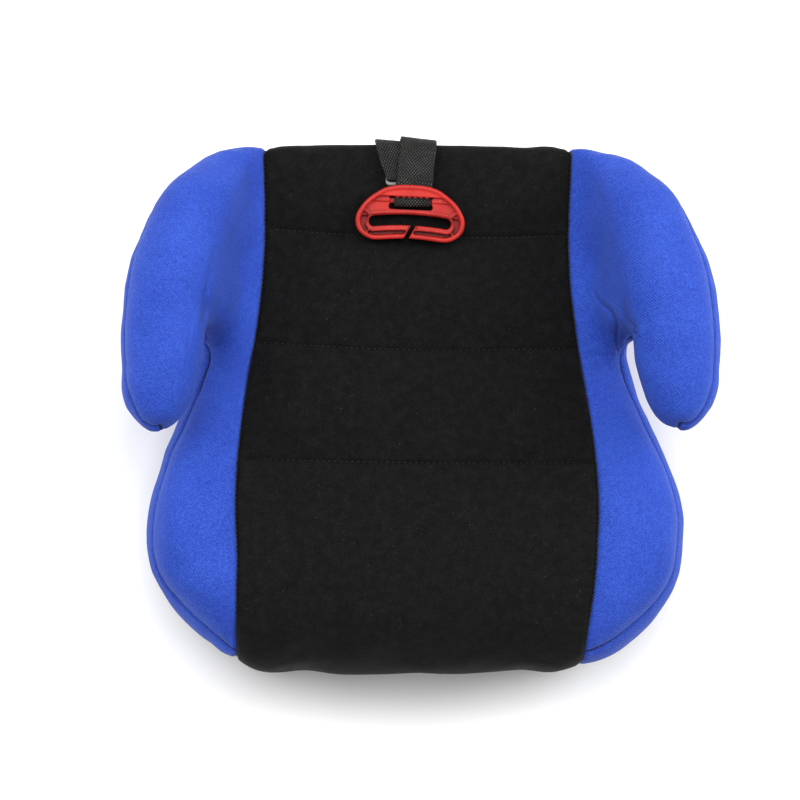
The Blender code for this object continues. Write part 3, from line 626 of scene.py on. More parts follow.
def foam_piece(name, choose, nodes):
    """A closed layer under the cover, made from the form drawn inwards."""
    faces = np.array([tuple(f.vertices) if len(f.vertices) == 4 else tuple(f.vertices) + (f.vertices[-1],)
                      for f in body.data.polygons])
    faces = faces[choose(rest[faces].mean(1))]
    used, inv = np.unique(faces, return_inverse=True)
    faces = inv.reshape(-1, 4)
    base, n = rest[used], foam_normal[used]
    deep = 7.0 + 2.6 * step((base[:, 2] - 110) / 25)
    m = len(base)
    verts = np.vstack([base - n * 5.3, base - n * deep[:, None]])
    tri = [tuple(dict.fromkeys(f)) for f in faces.tolist()]
    out = [f for f in tri] + [tuple(m + k for k in f[::-1]) for f in tri]
    edges = {}
    for f in tri:
        for i, j in zip(f, f[1:] + f[:1]):
            edges[(i, j)] = True
    out += [(j, i, m + i, m + j) for i, j in edges if (j, i) not in edges]
    made = mesh_object(name, verts, out)
    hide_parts(*nodes)
    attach(made, "root")
    return made


foam_normal = normals_of(body)
is_arm = lambda c: (np.abs(c[:, 0]) > 88) & (c[:, 2] > 127)
foams = [foam_piece("seat_foam_pad", lambda c: (c[:, 2] > 66) & ~is_arm(c), ["seat_foam"]),
         foam_piece("armrest_foam_pad_right", lambda c: is_arm(c) & (c[:, 0] > 0), ["armrest_foam_right"]),
         foam_piece("armrest_foam_pad_left", lambda c: is_arm(c) & (c[:, 0] < 0), ["armrest_foam_left"])]

print("cover: cloth")
puffed = simulate(body, rest)


def subdivided(obj, v, levels):
    set_verts(obj, v)
    copy = obj.copy()
    copy.data = obj.data.copy()
    bpy.context.scene.collection.objects.link(copy)
    m = copy.modifiers.new("fine", "SUBSURF")
    m.levels = m.render_levels = levels
    m.boundary_smooth = "PRESERVE_CORNERS"
    apply_modifiers(copy)
    out = get_verts(copy)
    return copy, out


print("cover: fine mesh")
fine0, v0 = subdivided(body, rest, 2)
bpy.data.objects.remove(fine0)
fine, v1 = subdivided(body, puffed, 2)
fine.data.calc_loop_triangles()
tris = np.empty(len(fine.data.loop_triangles) * 3, np.int32)
fine.data.loop_triangles.foreach_get("vertices", tris)
tris = tris.reshape(-1, 3)
n1 = normals_of(fine)
bpy.data.objects.remove(fine)
bpy.data.objects.remove(body)
print("cover:", len(v1), "points")

CENTRE_P, REAR, BOL_R, BOL_L, SK_R, SK_L, UN_R, UN_L = range(8)
sheet = Sheet({"rest": v0, "pos": v1, "nor": n1}, tris)


def rp():
    return sheet.attrs["rest"].T


x, y, z = rp()
top_side = np.where(z > 127, 40.0, 0.0)     # nothing of a horn belongs to the centre
sheet.split(x - seam_x(x, y, z) + top_side * (x > 0) - top_side * (x < 0), [CENTRE_P], BOL_R, "centre_r")
x, y, z = rp()
sheet.split(-x - seam_x(x, y, z) + np.where(z > 127, 40.0, 0.0), [CENTRE_P], BOL_L, "centre_l")
x, y, z = rp()
sheet.split(rear_function(x, y, z), [CENTRE_P], REAR, "rear")
for sgn, bol, sk, un, word in ((1, BOL_R, SK_R, UN_R, "r"), (-1, BOL_L, SK_L, UN_L, "l")):
    x, y, z = rp()
    sheet.split(under_function(x * sgn, y, z), [bol], un, "under_" + word)
    x, y, z = rp()
    sheet.split(skirt_function(x * sgn, y, z, float(sgn < 0)), [bol], sk, "skirt_" + word)
drop_islands(sheet)
print("cover: cut,", len(sheet.t), "triangles")


def all_seam_points():
    """Vertices where two panels meet."""
    n = len(sheet.attrs["rest"])
    seen = np.zeros((n, 8), bool)
    for k in range(3):
        seen[sheet.t[:, k], sheet.label] = True
    return np.where(seen.sum(1) > 1)[0]


from mathutils.kdtree import KDTree


def distance_to(points, queries, reach):
    """Distance from each query point to the nearest of points, up to reach."""
    tree = KDTree(len(points))
    for k, p in enumerate(points):
        tree.insert(p, k)
    tree.balance()
    lo, hi = points.min(0) - reach, points.max(0) + reach
    out = np.full(len(queries), reach, float)
    for k in np.where(((queries > lo) & (queries < hi)).all(1))[0]:
        out[k] = min(reach, tree.find(queries[k])[2])
    return out


seam_ids = all_seam_points()
R, P, N = sheet.attrs["rest"], sheet.attrs["pos"], sheet.attrs["nor"]
N = N / np.maximum(np.linalg.norm(N, axis=1), 1e-9)[:, None]
d_seam = distance_to(R[seam_ids], R, 24.0)
x, y, z = R.T
a = np.abs(x)
in_centre = step((seam_x(x, y, z) - a) / 1.5) * step((z - 96) / 4)
groove = 2.0 * np.exp(-(d_seam / 1.5) ** 2) + 1.4 * np.exp(-(d_seam / 8.0) ** 2)
d_quilt = np.full(len(R), 60.0)
for line in quilt_lines(x):
    d_quilt = np.minimum(d_quilt, np.abs(y - line))
channel = in_centre * (1.5 * np.exp(-(d_quilt / 1.6) ** 2) + 1.9 * np.exp(-(d_quilt / 9.0) ** 2))


def nose(p):
    """One on the end of a horn below its outer seam, where the panels are cut in one piece."""
    seam_z = outer_seam_z(p[:, 1]) - 9.0 * (p[:, 0] < 0)
    return step((-20 - p[:, 1]) / 8) * step((p[:, 2] - 116) / 6) * step((seam_z - 2.0 - p[:, 2]) / 2.5)


tip = nose(R)
disp = -np.maximum(groove * (1 - tip), channel)
# slight pulls and puckers: stronger beside seams
near = np.exp(-np.minimum(d_seam, d_quilt * in_centre + 60 * (1 - in_centre)) / 9.0)
disp += 0.55 * lattice(R, 34.0, 1) + 0.30 * lattice(R, 15.0, 2) * (0.4 + near) + 0.28 * near * lattice(R * (1, 1, 1), 6.0, 3)
painted_crease_shade = np.zeros(len(R))
for line, depth in (([(-138.8, 95), (-141.6, 71), (-143.7, 53), (-146.0, 43)], 0.9),
                    ([(122.6, 80), (126.7, 70), (131.6, 61.6), (134.3, 52.5), (138.5, 44.8), (143.0, 39.5)], 1.8),
                    ([(138.5, 66.5), (138.5, 58), (139.9, 49), (143.3, 42.7)], 1.3),
                    ([(118, 50), (130, 45.5), (143, 40)], 0.55), ([(117, 39), (130, 38), (143, 38.5)], 0.5),
                    ([(-122, 46), (-134, 43), (-146, 41)], 0.5)):
    d = np.full(len(R), 30.0)
    grow = np.zeros(len(R))
    total_len = sum(math.dist(line[k], line[k + 1]) for k in range(len(line) - 1))
    done = 0.0
    for (ax, ay), (bx, by) in zip(line, line[1:]):
        t = np.clip(((x - ax) * (bx - ax) + (y - ay) * (by - ay)) / ((bx - ax) ** 2 + (by - ay) ** 2), 0, 1)
        far = np.hypot(x - ax - t * (bx - ax), y - ay - t * (by - ay))
        seg = math.dist((ax, ay), (bx, by))
        grow = np.where(far < d, (done + t * seg) / total_len, grow)
        d = np.minimum(d, far)
        done += seg
    on = depth * step((z - 92) / 6) * np.sqrt(np.clip(grow, 0.02, 1)) * step((N[:, 2] + 0.15) / 0.3)
    # painted shade: each crease line also darkens the cloth's colour, besides its dent
    painted_crease_shade = np.maximum(painted_crease_shade, 0.32 * on * np.exp(-(d / 0.9) ** 2))
    disp += on * (0.35 * np.exp(-((d - 2.8) / 1.7) ** 2) - np.exp(-(d / 0.95) ** 2))
gather = np.exp(-np.maximum(0, z - HEM_Z) / 10.0)
disp += gather * (0.9 * lattice(R * (1, 1, 0.12), 7.5, 5) + 0.5 * lattice(R * (1, 1, 0.2), 4.2, 6))
level = N * np.column_stack([np.ones(len(N)), np.ones(len(N)), 1 - np.clip(1.3 * gather, 0, 1)])   # the hem keeps its height
P = P + level * disp[:, None]


def pressed(p):
    """The cushion stays under the strap and the belt guide, which sink into it a little."""
    x, y, z = p.T
    clip = 118.7 + (y - 151.9) * math.tan(math.radians(15.4)) - 0.5
    away = np.hypot(np.maximum(0, np.abs(x + 5.8) - 34), np.maximum(0, np.maximum(114 - y, y - 152)))
    clip = clip + 0.045 * away ** 2
    strap = spline([(140, 116.0), (152, 118.0), (156, 118.4), (165, 120.6), (175, 122.9), (186, 122.9)], y)
    away = np.hypot(np.maximum(0, np.abs(x + 8.0) - 19), np.maximum(0, 150 - y))
    strap = strap + 0.05 * away ** 2
    limit = np.where(z > 96, np.minimum(clip, np.where(y > 146, strap, 400.0)), 400.0)
    z = np.where(limit < 300, smin(z, limit, 1.2), z)
    behind = 182.6 + 0.05 * np.maximum(0, np.abs(x + 8.0) - 20) ** 2
    y = np.where((np.abs(x) < 60) & (y > 170), smin(y, behind, 1.0), y)
    return np.column_stack([x, y, z])


P = pressed(P)
# painted shade: how far each point of the cloth lies in a seam, a quilt line or a crease; the cloth's colour is
# darkened there to stand in for the shade in these grooves
painted_groove_shade = np.maximum.reduce([0.9 * np.exp(-(d_seam / 0.9) ** 2) * step((R[:, 2] - HEM_Z - 3) / 4) * (1 - tip), painted_crease_shade,
                             0.5 * in_centre * np.exp(-(d_quilt / 1.0) ** 2)])

PANELS = {CENTRE_P: ("cover_centre_panel", "black"), REAR: ("cover_rear_panel", "black"),
          BOL_R: ("cover_bolster_right", "blue"), BOL_L: ("cover_bolster_left", "blue"),
          SK_R: ("cover_skirt_right", "blue"), SK_L: ("cover_skirt_left", "blue"),
          UN_R: ("armrest_under_right", "blue"), UN_L: ("armrest_under_left", "blue")}


def boundary_loops(t):
    """Directed boundary edges of a triangle set."""
    e = np.concatenate([t[:, [0, 1]], t[:, [1, 2]], t[:, [2, 0]]])
    key = np.sort(e, axis=1)
    _, inv, cnt = np.unique(key, axis=0, return_inverse=True, return_counts=True)
    return e[cnt[inv.reshape(-1)] == 1]


def panel_object(name, label):
    t = sheet.t[sheet.label == label]
    used, inv = np.unique(t, return_inverse=True)
    t = inv.reshape(-1, 3)
    p, n = P[used].copy(), N[used]
    edge = boundary_loops(t)
    rim = np.unique(edge)
    # Each rim point draws back a hair from the seam, then the cloth turns in.
    inner_dir = np.zeros_like(p)
    for k in range(3):
        np.add.at(inner_dir, t[:, k], p[t].mean(1) - p[t[:, k]])
    inner_dir = inner_dir[rim]
    inner_dir -= n[rim] * np.einsum("ij,ij->i", inner_dir, n[rim])[:, None]
    inner_dir /= np.maximum(np.linalg.norm(inner_dir, axis=1), 1e-9)[:, None]
    at_hem = p[rim, 2] < HEM_Z + 3
    back = np.where(at_hem, 0.0, 0.16)[:, None]
    p[rim] += inner_dir * back
    fold1 = p[rim] - n[rim] * 1.1 + inner_dir * np.where(at_hem, 0.2, 0.1)[:, None]
    fold2 = p[rim] - n[rim] * 2.6 + inner_dir * np.where(at_hem, 7.0, 1.4)[:, None]
    where = np.full(len(p), -1)
    where[rim] = np.arange(len(rim))
    m = len(p)
    verts = np.vstack([p, fold1, fold2])
    i, j = edge[:, 0], edge[:, 1]
    wi, wj = where[i], where[j]
    r = len(rim)
    band1 = np.column_stack([j, i, m + wi, m + wj])
    band2 = np.column_stack([m + wj, m + wi, m + r + wi, m + r + wj])
    faces = [tuple(f) for f in t] + [tuple(f) for f in band1] + [tuple(f) for f in band2]
    made = mesh_object(name, verts, faces)
    # painted shade in seams, quilt lines and creases goes onto the points for the fabric colour
    value = painted_groove_shade[used]
    att = made.data.attributes.new("painted_groove_shade", "FLOAT", "POINT")
    att.data.foreach_set("value", np.concatenate([value, value[rim], value[rim]]).astype(np.float32))
    return made


cover = {}
for label, (name, kind) in PANELS.items():
    made = panel_object(name + "_cloth", label)
    cover[name] = (made, kind)
    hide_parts(name)
    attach(made, "root")
print("cover: done")


# ------------------------------------------------------------------ belt guide and adjuster, as distance fields (mm)
GUIDE, TILT, TURN = (-5.8, 151.9, 118.7), math.radians(15.4), math.radians(-2.0)


def place(p, origin=GUIDE, tilt=TILT, turn=TURN):
    """Local x across, y forward from the rear edge, z up through the thickness, into the cushion's frame."""
    x, y, z = p[:, 0], -p[:, 1], p[:, 2]
    x, y = x * math.cos(turn) - y * math.sin(turn), x * math.sin(turn) + y * math.cos(turn)
    y, z = y * math.cos(tilt) - z * math.sin(tilt), y * math.sin(tilt) + z * math.cos(tilt)
    return np.column_stack([x, y, z]) + origin


def surface_nets(f, low, pitch):
    """Quads on the zero level of a field sampled on a grid."""
    inside = f < 0
    n = [k - 1 for k in f.shape]
    cut = lambda a, o: a[o[0]:o[0] + n[0], o[1]:o[1] + n[1], o[2]:o[2] + n[2]]
    corners = [(i, j, k) for i in (0, 1) for j in (0, 1) for k in (0, 1)]
    total = sum(cut(inside, c).astype(int) for c in corners)
    mixed = (total > 0) & (total < 8)
    cells = np.argwhere(mixed)
    index = np.full(mixed.shape, -1)
    index[mixed] = np.arange(len(cells))
    point, hits = np.zeros((len(cells), 3)), np.zeros(len(cells))
    for a in corners:
        for axis in range(3):
            if a[axis]:
                continue
            b = list(a)
            b[axis] = 1
            fa, fb = cut(f, a)[mixed], cut(f, b)[mixed]
            hit = (fa < 0) != (fb < 0)
            t = fa[hit] / (fa[hit] - fb[hit])
            q = np.tile(np.array(a, float), (hit.sum(), 1))
            q[:, axis] += t
            point[hit] += q
            hits[hit] += 1
    verts = (cells + point / hits[:, None]) * pitch + low
    quads = []
    for axis in range(3):
        u, w = [(1, 2), (2, 0), (0, 1)][axis]
        a = [slice(None)] * 3
        b = [slice(None)] * 3
        a[axis], b[axis] = slice(0, -1), slice(1, None)
        fa, fb = inside[tuple(a)], inside[tuple(b)]
        edge = np.argwhere(fa != fb)
        edge = edge[(edge[:, u] > 0) & (edge[:, w] > 0) & (edge[:, u] < f.shape[u] - 1) & (edge[:, w] < f.shape[w] - 1)]
        out = fa[tuple(edge.T)]
        ring = []
        for du, dw in ((-1, -1), (0, -1), (0, 0), (-1, 0)):
            c = edge.copy()
            c[:, u] += du
            c[:, w] += dw
            ring.append(index[tuple(c.T)])
        ring = np.array(ring).T
        ring[~out] = ring[~out][:, ::-1]
        quads.append(ring)
    return verts, np.vstack(quads)


def ext(d, z, z0, z1, r=0.4):
    """A plan distance drawn out from z0 to z1, with rounded edges."""
    a, b = d + r, np.abs(z - (z0 + z1) / 2) - (z1 - z0) / 2 + r
    return np.minimum(np.maximum(a, b), 0) + np.hypot(np.maximum(a, 0), np.maximum(b, 0)) - r


def box2(x, y, cx, cy, hx, hy, r=0.0):
    a, b = np.abs(x - cx) - hx + r, np.abs(y - cy) - hy + r
    return np.minimum(np.maximum(a, b), 0) + np.hypot(np.maximum(a, 0), np.maximum(b, 0)) - r


def line2(x, y, ax, ay, bx, by):
    t = np.clip(((x - ax) * (bx - ax) + (y - ay) * (by - ay)) / ((bx - ax) ** 2 + (by - ay) ** 2), 0, 1)
    return np.hypot(x - ax - t * (bx - ax), y - ay - t * (by - ay))


def polygon2(x, y, ring):
    best, crossings = np.full(x.shape, 1e9), np.zeros(x.shape, bool)
    for (ax, ay), (bx, by) in zip(ring, np.roll(ring, -1, 0)):
        best = np.minimum(best, line2(x, y, ax, ay, bx, by))
        if ay != by:
            crossings ^= ((ay > y) != (by > y)) & (x < ax + (y - ay) * (bx - ax) / (by - ay))
    return np.where(crossings, -best, best)


def closed_spline(points, each):
    p, out = np.array(points, float), []
    for i in range(len(p)):
        p0, p1, p2, p3 = (p[(i + k) % len(p)] for k in (-1, 0, 1, 2))
        for u in np.arange(each) / each:
            out.append(0.5 * (2 * p1 + (p2 - p0) * u + (2 * p0 - 5 * p1 + 4 * p2 - p3) * u * u
                              + (3 * p1 - p0 - 3 * p2 + p3) * u ** 3))
    return np.array(out)


def belt_guide(pitch=0.42):
    half = [(0, 0), (8, 0.35), (13, 1.2), (18.3, 2.9), (23, 5.8), (28, 9.6), (31.6, 13.4), (34.4, 17.6), (36.2, 21.6),
            (36.8, 25.6), (36.2, 29.6), (34.3, 33.1), (31, 36.0), (27, 37.9), (22.5, 38.5), (12, 37.6), (0, 36.9)]
    ring = closed_spline(half + [(-x, y) for x, y in half[-2:0:-1]], 5)
    low = np.array([-38.4, -1.6, -1.2])
    gx, gy, gz = (np.arange(low[k], hi + pitch, pitch) for k, hi in enumerate((38.4, 40.2, 8.8)))
    x, y = np.meshgrid(gx, gy, indexing="ij")
    z = gz[None, None, :]
    e = lambda d, z0, z1, r=0.4: ext(d[:, :, None], z, z0, z1, r)
    plan = polygon2(x, y, ring)
    mid = 24.1 + 1.75 * (x / 25.0) ** 2                    # the belt slot is bowed
    mid = np.where(np.abs(x) > 25, 25.85 + 0.02 * (np.abs(x) - 25), mid)
    slot = np.hypot(np.maximum(np.abs(x) - 24.0, 0), y - mid) - 3.6
    ring_w = 1.5 + 1.9 * step((y - (mid - 1.5)) / 4.0) * (0.5 + 0.5 * step((31 - np.abs(x)) / 6.0))
    slit = (x - 2.3) * 0.885 + (y - 28.0) * 0.466           # across the slanted slit
    above = y - (mid - 3.6)                                 # the plate behind the belt slot
    # thick rounded rim
    body = e(np.abs(plan + 1.75) - 1.65, 0.0, 7.7, 1.4)
    # floor plates in two steps, then the raised lens under the rear arc
    body = np.minimum(body, e(np.maximum(plan + 1.0, above), 1.4, 4.3, 0.2))
    body = np.minimum(body, e(np.maximum(np.maximum(plan + 1.0, above), y - 12.3), 1.4, 5.1, 0.2))
    body = smin(body, e(np.maximum(plan + 1.0, y - 8.35), 2.0, 7.0, 0.35), 0.9)
    # wall round the belt slot, with a thin rib on its outer edge
    body = smin(body, e(np.maximum(np.abs(slot - ring_w / 2) - ring_w / 2, plan + 1.0), 0.3, 5.9, 0.9), 0.3)
    body = smin(body, e(np.maximum(np.abs(slot - ring_w + 0.3) - 0.45, plan + 1.0), 0.3, 7.0, 0.4), 0.25)
    # web at the bottom of the end channels and of the two arms
    body = np.minimum(body, e(plan + 1.0, 0.3, 1.5, 0.3))
    # short cross ribs, and ribs along the slit
    for s in (1, -1):
        body = smin(body, e(line2(x, y, s * 30.9, 18.3, s * 27.8, 21.4) - 0.45, 0.6, 7.0, 0.4), 0.3)
        body = smin(body, e(line2(x, y, s * 30.4, 34.4, s * 27.6, 32.2) - 0.45, 0.6, 7.0, 0.4), 0.3)
    along = np.maximum(np.maximum(np.abs(np.abs(slit) - 2.0) - 0.6, 27.6 - y), plan + 0.6)
    body = smin(body, e(along, 0.3, 7.1, 0.45), 0.3)
    # openings
    body = smax(body, -e(slot, -4, 14, 0.1), 0.5)
    body = smax(body, -e(np.maximum(np.abs(slit) - 1.45, 26.0 - y), -4, 14, 0.1), 0.4)
    web = np.minimum(box2(x, y, 0.0, 12.0, 13.7, 3.7, 0.3), box2(x, y, 0.0, 15.2, 14.7, 1.8, 1.5))
    body = smax(body, -e(web, -4, 14, 0.1), 0.35)
    body = smax(body, -e(box2(x, y, 0.0, 3.0, 14.6, 6.1), -4, 5.15, 0.1), 0.3)
    # six teeth that grip the webbing, and the bar it turns round
    for k in range(6):
        tooth = line2(x, y, 0.7 + (k - 2.5) * 3.9, 7.6, 0.7 + (k - 2.5) * 3.9, 8.6) - 0.85
        body = smin(body, e(tooth, 5.1, 6.6, 0.4), 0.3)
    body = smin(body, e(box2(x, y, 0.0, 11.2, 16.5, 1.8), 1.9, 3.5, 0.6), 0.3)
    verts, quads = surface_nets(body, low, pitch)
    verts = verts * (1.032, 1.012, 1.0) + (1.35, -1.3, 0.0)
    return mesh_object("belt_guide_moulding", place(verts), quads)


def adjuster_plate(pitch=0.32):
    low = np.array([-17.0, -1.2, -1.0])
    gx, gy, gz = (np.arange(low[k], hi + pitch, pitch) for k, hi in enumerate((17.0, 12.4, 3.0)))
    x, y = np.meshgrid(gx, gy, indexing="ij")
    z = gz[None, None, :]
    body = ext(box2(x, y, 0, 5.5, 14.3, 5.5, 2.4)[:, :, None], z, 0.0, 1.55, 0.6)
    for c in (3.6, 7.6):
        body = smax(body, -ext(box2(x, y, 0, c, 12.7, 1.05, 0.9)[:, :, None], z, -3, 5, 0.1), 0.35)
    verts, quads = surface_nets(body, low, pitch)
    return mesh_object("strap_adjuster_plate", place(verts, (-8.0, 163.0, 121.6), math.radians(12.0), 0.0), quads)


print("hardware")
guide = belt_guide()
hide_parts("belt_guide")
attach(guide, "guide")
plate = adjuster_plate()
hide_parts("strap_adjuster")
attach(plate, "adjuster")


# ------------------------------------------------------------------ webbing
def open_spline(points, gap):
    """Evenly spaced points on a smooth curve through the given ones."""
    p = np.array(points, float)
    q = np.vstack([2 * p[0] - p[1], p, 2 * p[-1] - p[-2]])
    dense = []
    for i in range(1, len(q) - 2):
        p0, p1, p2, p3 = q[i - 1:i + 3]
        for u in np.arange(24) / 24:
            dense.append(0.5 * (2 * p1 + (p2 - p0) * u + (2 * p0 - 5 * p1 + 4 * p2 - p3) * u * u
                                + (3 * p1 - p0 - 3 * p2 + p3) * u ** 3))
    dense = np.array(dense + [p[-1]])
    along = np.concatenate([[0], np.cumsum(np.linalg.norm(np.diff(dense, axis=0), axis=1))])
    s = np.linspace(0, along[-1], max(3, int(round(along[-1] / gap)) + 1))
    return np.stack([np.interp(s, along, dense[:, k]) for k in range(3)], 1), s


def webbing(name, path, width=25.0, thick=1.3, gap=0.5, start=0.0, relief=0.13, ends=None, roll=(0.0, 0.0)):
    """A woven band along path. A point attribute keeps its place across and along, for the weave.
    ends gives the directions at both ends, so that pieces that follow each other meet square."""
    p, s = open_spline(path, gap)
    t = np.gradient(p, axis=0)
    if ends:
        for k, d in ((0, ends[0]), (-1, ends[1])):
            if d is not None:
                t[k] = d
    t /= np.linalg.norm(t, axis=1)[:, None]
    side = np.array([1.0, 0, 0]) - t * t[:, :1]
    side /= np.linalg.norm(side, axis=1)[:, None]
    up = np.cross(side, t)
    turn = np.radians(np.interp(s, np.linspace(0, s[-1], len(roll)), roll))[:, None]
    side, up = side * np.cos(turn) - up * np.sin(turn), up * np.cos(turn) + side * np.sin(turn)
    cols = int(round(width / gap))
    u = np.linspace(-1, 1, cols + 1) * width / 2
    edge = 1 - 0.45 * np.clip((np.abs(u) - width / 2 + 1.3) / 1.3, 0, 1) ** 2
    ss, uu = np.meshgrid(s + start, u, indexing="ij")
    weave = np.cos(2 * math.pi * uu / 2.1) * np.cos(2 * math.pi * ss / 2.4)
    tops = (thick / 2) * edge[None, :] + relief * weave * (np.abs(uu) < width / 2 - 0.6)
    grid = p[:, None, :] + side[:, None, :] * u[None, :, None]
    top = grid + up[:, None, :] * tops[:, :, None]
    low = grid - up[:, None, :] * tops[:, :, None]
    rows, n = len(p), cols + 1
    verts = np.vstack([top.reshape(-1, 3), low.reshape(-1, 3)])
    a = (np.arange(rows - 1)[:, None] * n + np.arange(n - 1)[None, :]).ravel()
    m = rows * n
    faces = [np.column_stack([a, a + 1, a + n + 1, a + n]), np.column_stack([a + n, a + n + 1, a + 1, a]) + m]
    k = np.arange(rows - 1) * n
    faces.append(np.column_stack([k, k + n, k + n + m, k + m]))
    k = k + n - 1
    faces.append(np.column_stack([k + m, k + n + m, k + n, k]))
    k = np.arange(n - 1)
    faces.append(np.column_stack([k + 1, k, k + m, k + 1 + m]))
    k = k + (rows - 1) * n
    faces.append(np.column_stack([k, k + 1, k + 1 + m, k + m]))
    made = mesh_object(name, verts, np.vstack(faces))
    outward(made)
    att = made.data.attributes.new("web", "FLOAT_VECTOR", "POINT")
    val = np.stack([np.tile(uu.ravel(), 2), np.tile(ss.ravel(), 2), np.zeros(2 * m)], 1).astype(np.float32)
    att.data.foreach_set("vector", val.ravel())
    made.data.set_sharp_from_angle(angle=math.radians(55))
    bands.append(made)
    return s[-1] + start


def joined(piece, a, b, start, end, *nodes):
    """A band that crosses a joint between two bodies. start and end (in the cushion's frame, mm) are not used."""
    if nodes:
        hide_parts(*nodes)
    if a == b:
        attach(piece, a)
    else:
        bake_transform(piece)


bands, plans = [], []
loop = [(-3.0, 152.0 + 4.3 * math.cos(math.radians(q)), 16.8 + 4.3 * math.sin(math.radians(q)))
        for q in np.linspace(60, 270, 9)]
rear = loop + [(-3.0, 158, 12.2), (-3.0, 170, 11.6), (-3.0, 177.6, 12.0), (-3.0, 181.9, 14.6), (-3.0, 183.6, 20),
               (-3.5, 184.1, 50), (-5.0, 184.2, 78), (-9.5, 184.4, 95), (-12.4, 184.6, 104)]
over = [(-12.4, 184.6, 104), (-14.6, 184.8, 110), (-16.6, 184.8, 116), (-17.4, 183.1, 121.2), (-16.5, 179.6, 123.8),
        (-15.4, 175.5, 124.5)]
down = [(-15.4, 175.5, 124.5), (-14.0, 170.5, 124.5), (-12.2, 166.0, 124.2), (-10.6, 162.0, 123.4), (-9.6, 158.4, 122.6),
        (-9.2, 156.7, 121.8), (-9.0, 155.6, 120.5), (-8.9, 154.9, 119.4), (-8.8, 153.8, 118.8), (-8.7, 152.6, 118.7)]
turn_a, turn_b = (-0.30, 0.03, 1.0), (0.16, -1.0, 0.10)
at = webbing("strap_rear_webbing", rear, gap=0.7, ends=(None, turn_a), roll=(0, 0))
joined(bands[-1], "root", "root", None, None, "strap_rear_run")
at = webbing("strap_left_over_edge", over, gap=0.4, start=at, ends=(turn_a, (0.28, -1.0, 0.05)), roll=(0, -3.0, -5.0, -2.0, 0))
joined(bands[-1], "root", "strap", (-12.8, 184.6, 106), (-16.5, 176.5, 124.5), "strap_lower_rear")
at = webbing("strap_left_leg", down, gap=0.4, start=at, ends=((0.28, -1.0, 0.05), None))
joined(bands[-1], "strap", "adjuster", (-16, 175.2, 124.5), (-9, 163.9, 124), "strap_lower_front")

up_over = [(0.5, 187.2, 108), (0.62, 187.0, 112.5), (0.65, 186.1, 118.0), (0.6, 184.1, 122.8), (0.4, 180.4, 125.7),
           (0.0, 175.5, 126.4)]
up_down = [(0.0, 175.5, 126.4), (-0.8, 170.5, 126.2), (-1.5, 165.0, 125.8), (-1.9, 160.0, 125.0), (-2.1, 156.2, 124.0)]
at = webbing("strap_right_over_edge", up_over, gap=0.4, ends=((0.02, 0.0, 1.0), (-0.12, -1.0, -0.01)), roll=(0, -3.5, -7.0, -5.5, -2.5))
joined(bands[-1], "root", "strap", (0.5, 187.2, 109.5), (0, 176.5, 126.4), "strap_upper_rear")
at = webbing("strap_right_leg", up_down, gap=0.4, start=at, ends=((-0.12, -1.0, -0.01), (-0.05, -1.0, -0.27)), roll=(-2.5, 0))
joined(bands[-1], "strap", "adjuster", (0, 175.2, 126.4), (-1.5, 163.9, 125.6), "strap_upper_front")
local = [(2.6, 0.0, 4.3), (2.4, 3.8, 4.35), (2.3, 7.2, 4.45), (2.3, 11.0, 4.5), (2.3, 12.8, 3.9), (2.3, 13.5, 2.7),
         (2.3, 12.8, 1.5), (2.3, 11.0, 0.9), (2.0, 7.4, 0.75), (1.0, 3.6, 0.9)]
turned = [(-2.1, 156.2, 124.0), (-2.2, 154.0, 123.4)] + place(np.array(local)).tolist() + [(-6.8, 151.6, 118.6), (-7.8, 153.4, 118.1)]
webbing("strap_guide_loop", turned, gap=0.4, start=at, ends=((-0.05, -1.0, -0.27), None))
joined(bands[-1], "adjuster", "guide", (-3, 155.7, 123.4), (-3, 151.4, 122.2), "strap_loop")
tail = [(0.5, 187.2, 108), (0.3, 187.2, 100), (-0.6, 187.1, 84), (-1.6, 187.1, 64), (-2.0, 187.1, 44.6)]
webbing("strap_tail_webbing", tail, gap=0.5, start=3.0, ends=((0, 0, -1.0), None))
joined(bands[-1], "root", "tail", (0.5, 187.2, 107), (0.2, 187.2, 98), "strap_tail")
webbing("strap_tail_fold", [(-2.0, 188.6, 44.4), (-1.9, 188.7, 50), (-1.8, 188.6, 57)], gap=0.5, start=5.0)
joined(bands[-1], "tail", "tail", None, None)


# ------------------------------------------------------------------ thread in the seams
def seam_chains():
    """Polylines of points along which two different panels meet, as (labels, points, normals)."""
    t, lab = sheet.t, sheet.label
    e = np.concatenate([t[:, [0, 1]], t[:, [1, 2]], t[:, [2, 0]]])
    l = np.tile(lab, 3)
    key = np.sort(e, axis=1)
    order = np.lexsort((key[:, 1], key[:, 0]))
    key, l = key[order], l[order]
    same = (key[1:] == key[:-1]).all(1)
    a = np.where(same & (l[1:] != l[:-1]))[0]
    groups = {}
    for k in a:
        groups.setdefault(tuple(sorted((int(l[k]), int(l[k + 1])))), []).append((int(key[k, 0]), int(key[k, 1])))
    for pair, edges in sorted(groups.items()):
        near = {}
        for i, j in edges:
            near.setdefault(i, []).append(j)
            near.setdefault(j, []).append(i)
        left = {tuple(sorted(q)) for q in edges}
        starts = sorted(k for k, q in near.items() if len(q) != 2) + sorted(near)
        for s in starts:
            while any(tuple(sorted((s, q))) in left for q in near[s]):
                chain = [s]
                while True:
                    nxt = [q for q in near[chain[-1]] if tuple(sorted((chain[-1], q))) in left]
                    if not nxt:
                        break
                    left.discard(tuple(sorted((chain[-1], nxt[0]))))
                    chain.append(nxt[0])
                if len(chain) > 10:
                    yield pair, P[chain], N[chain]


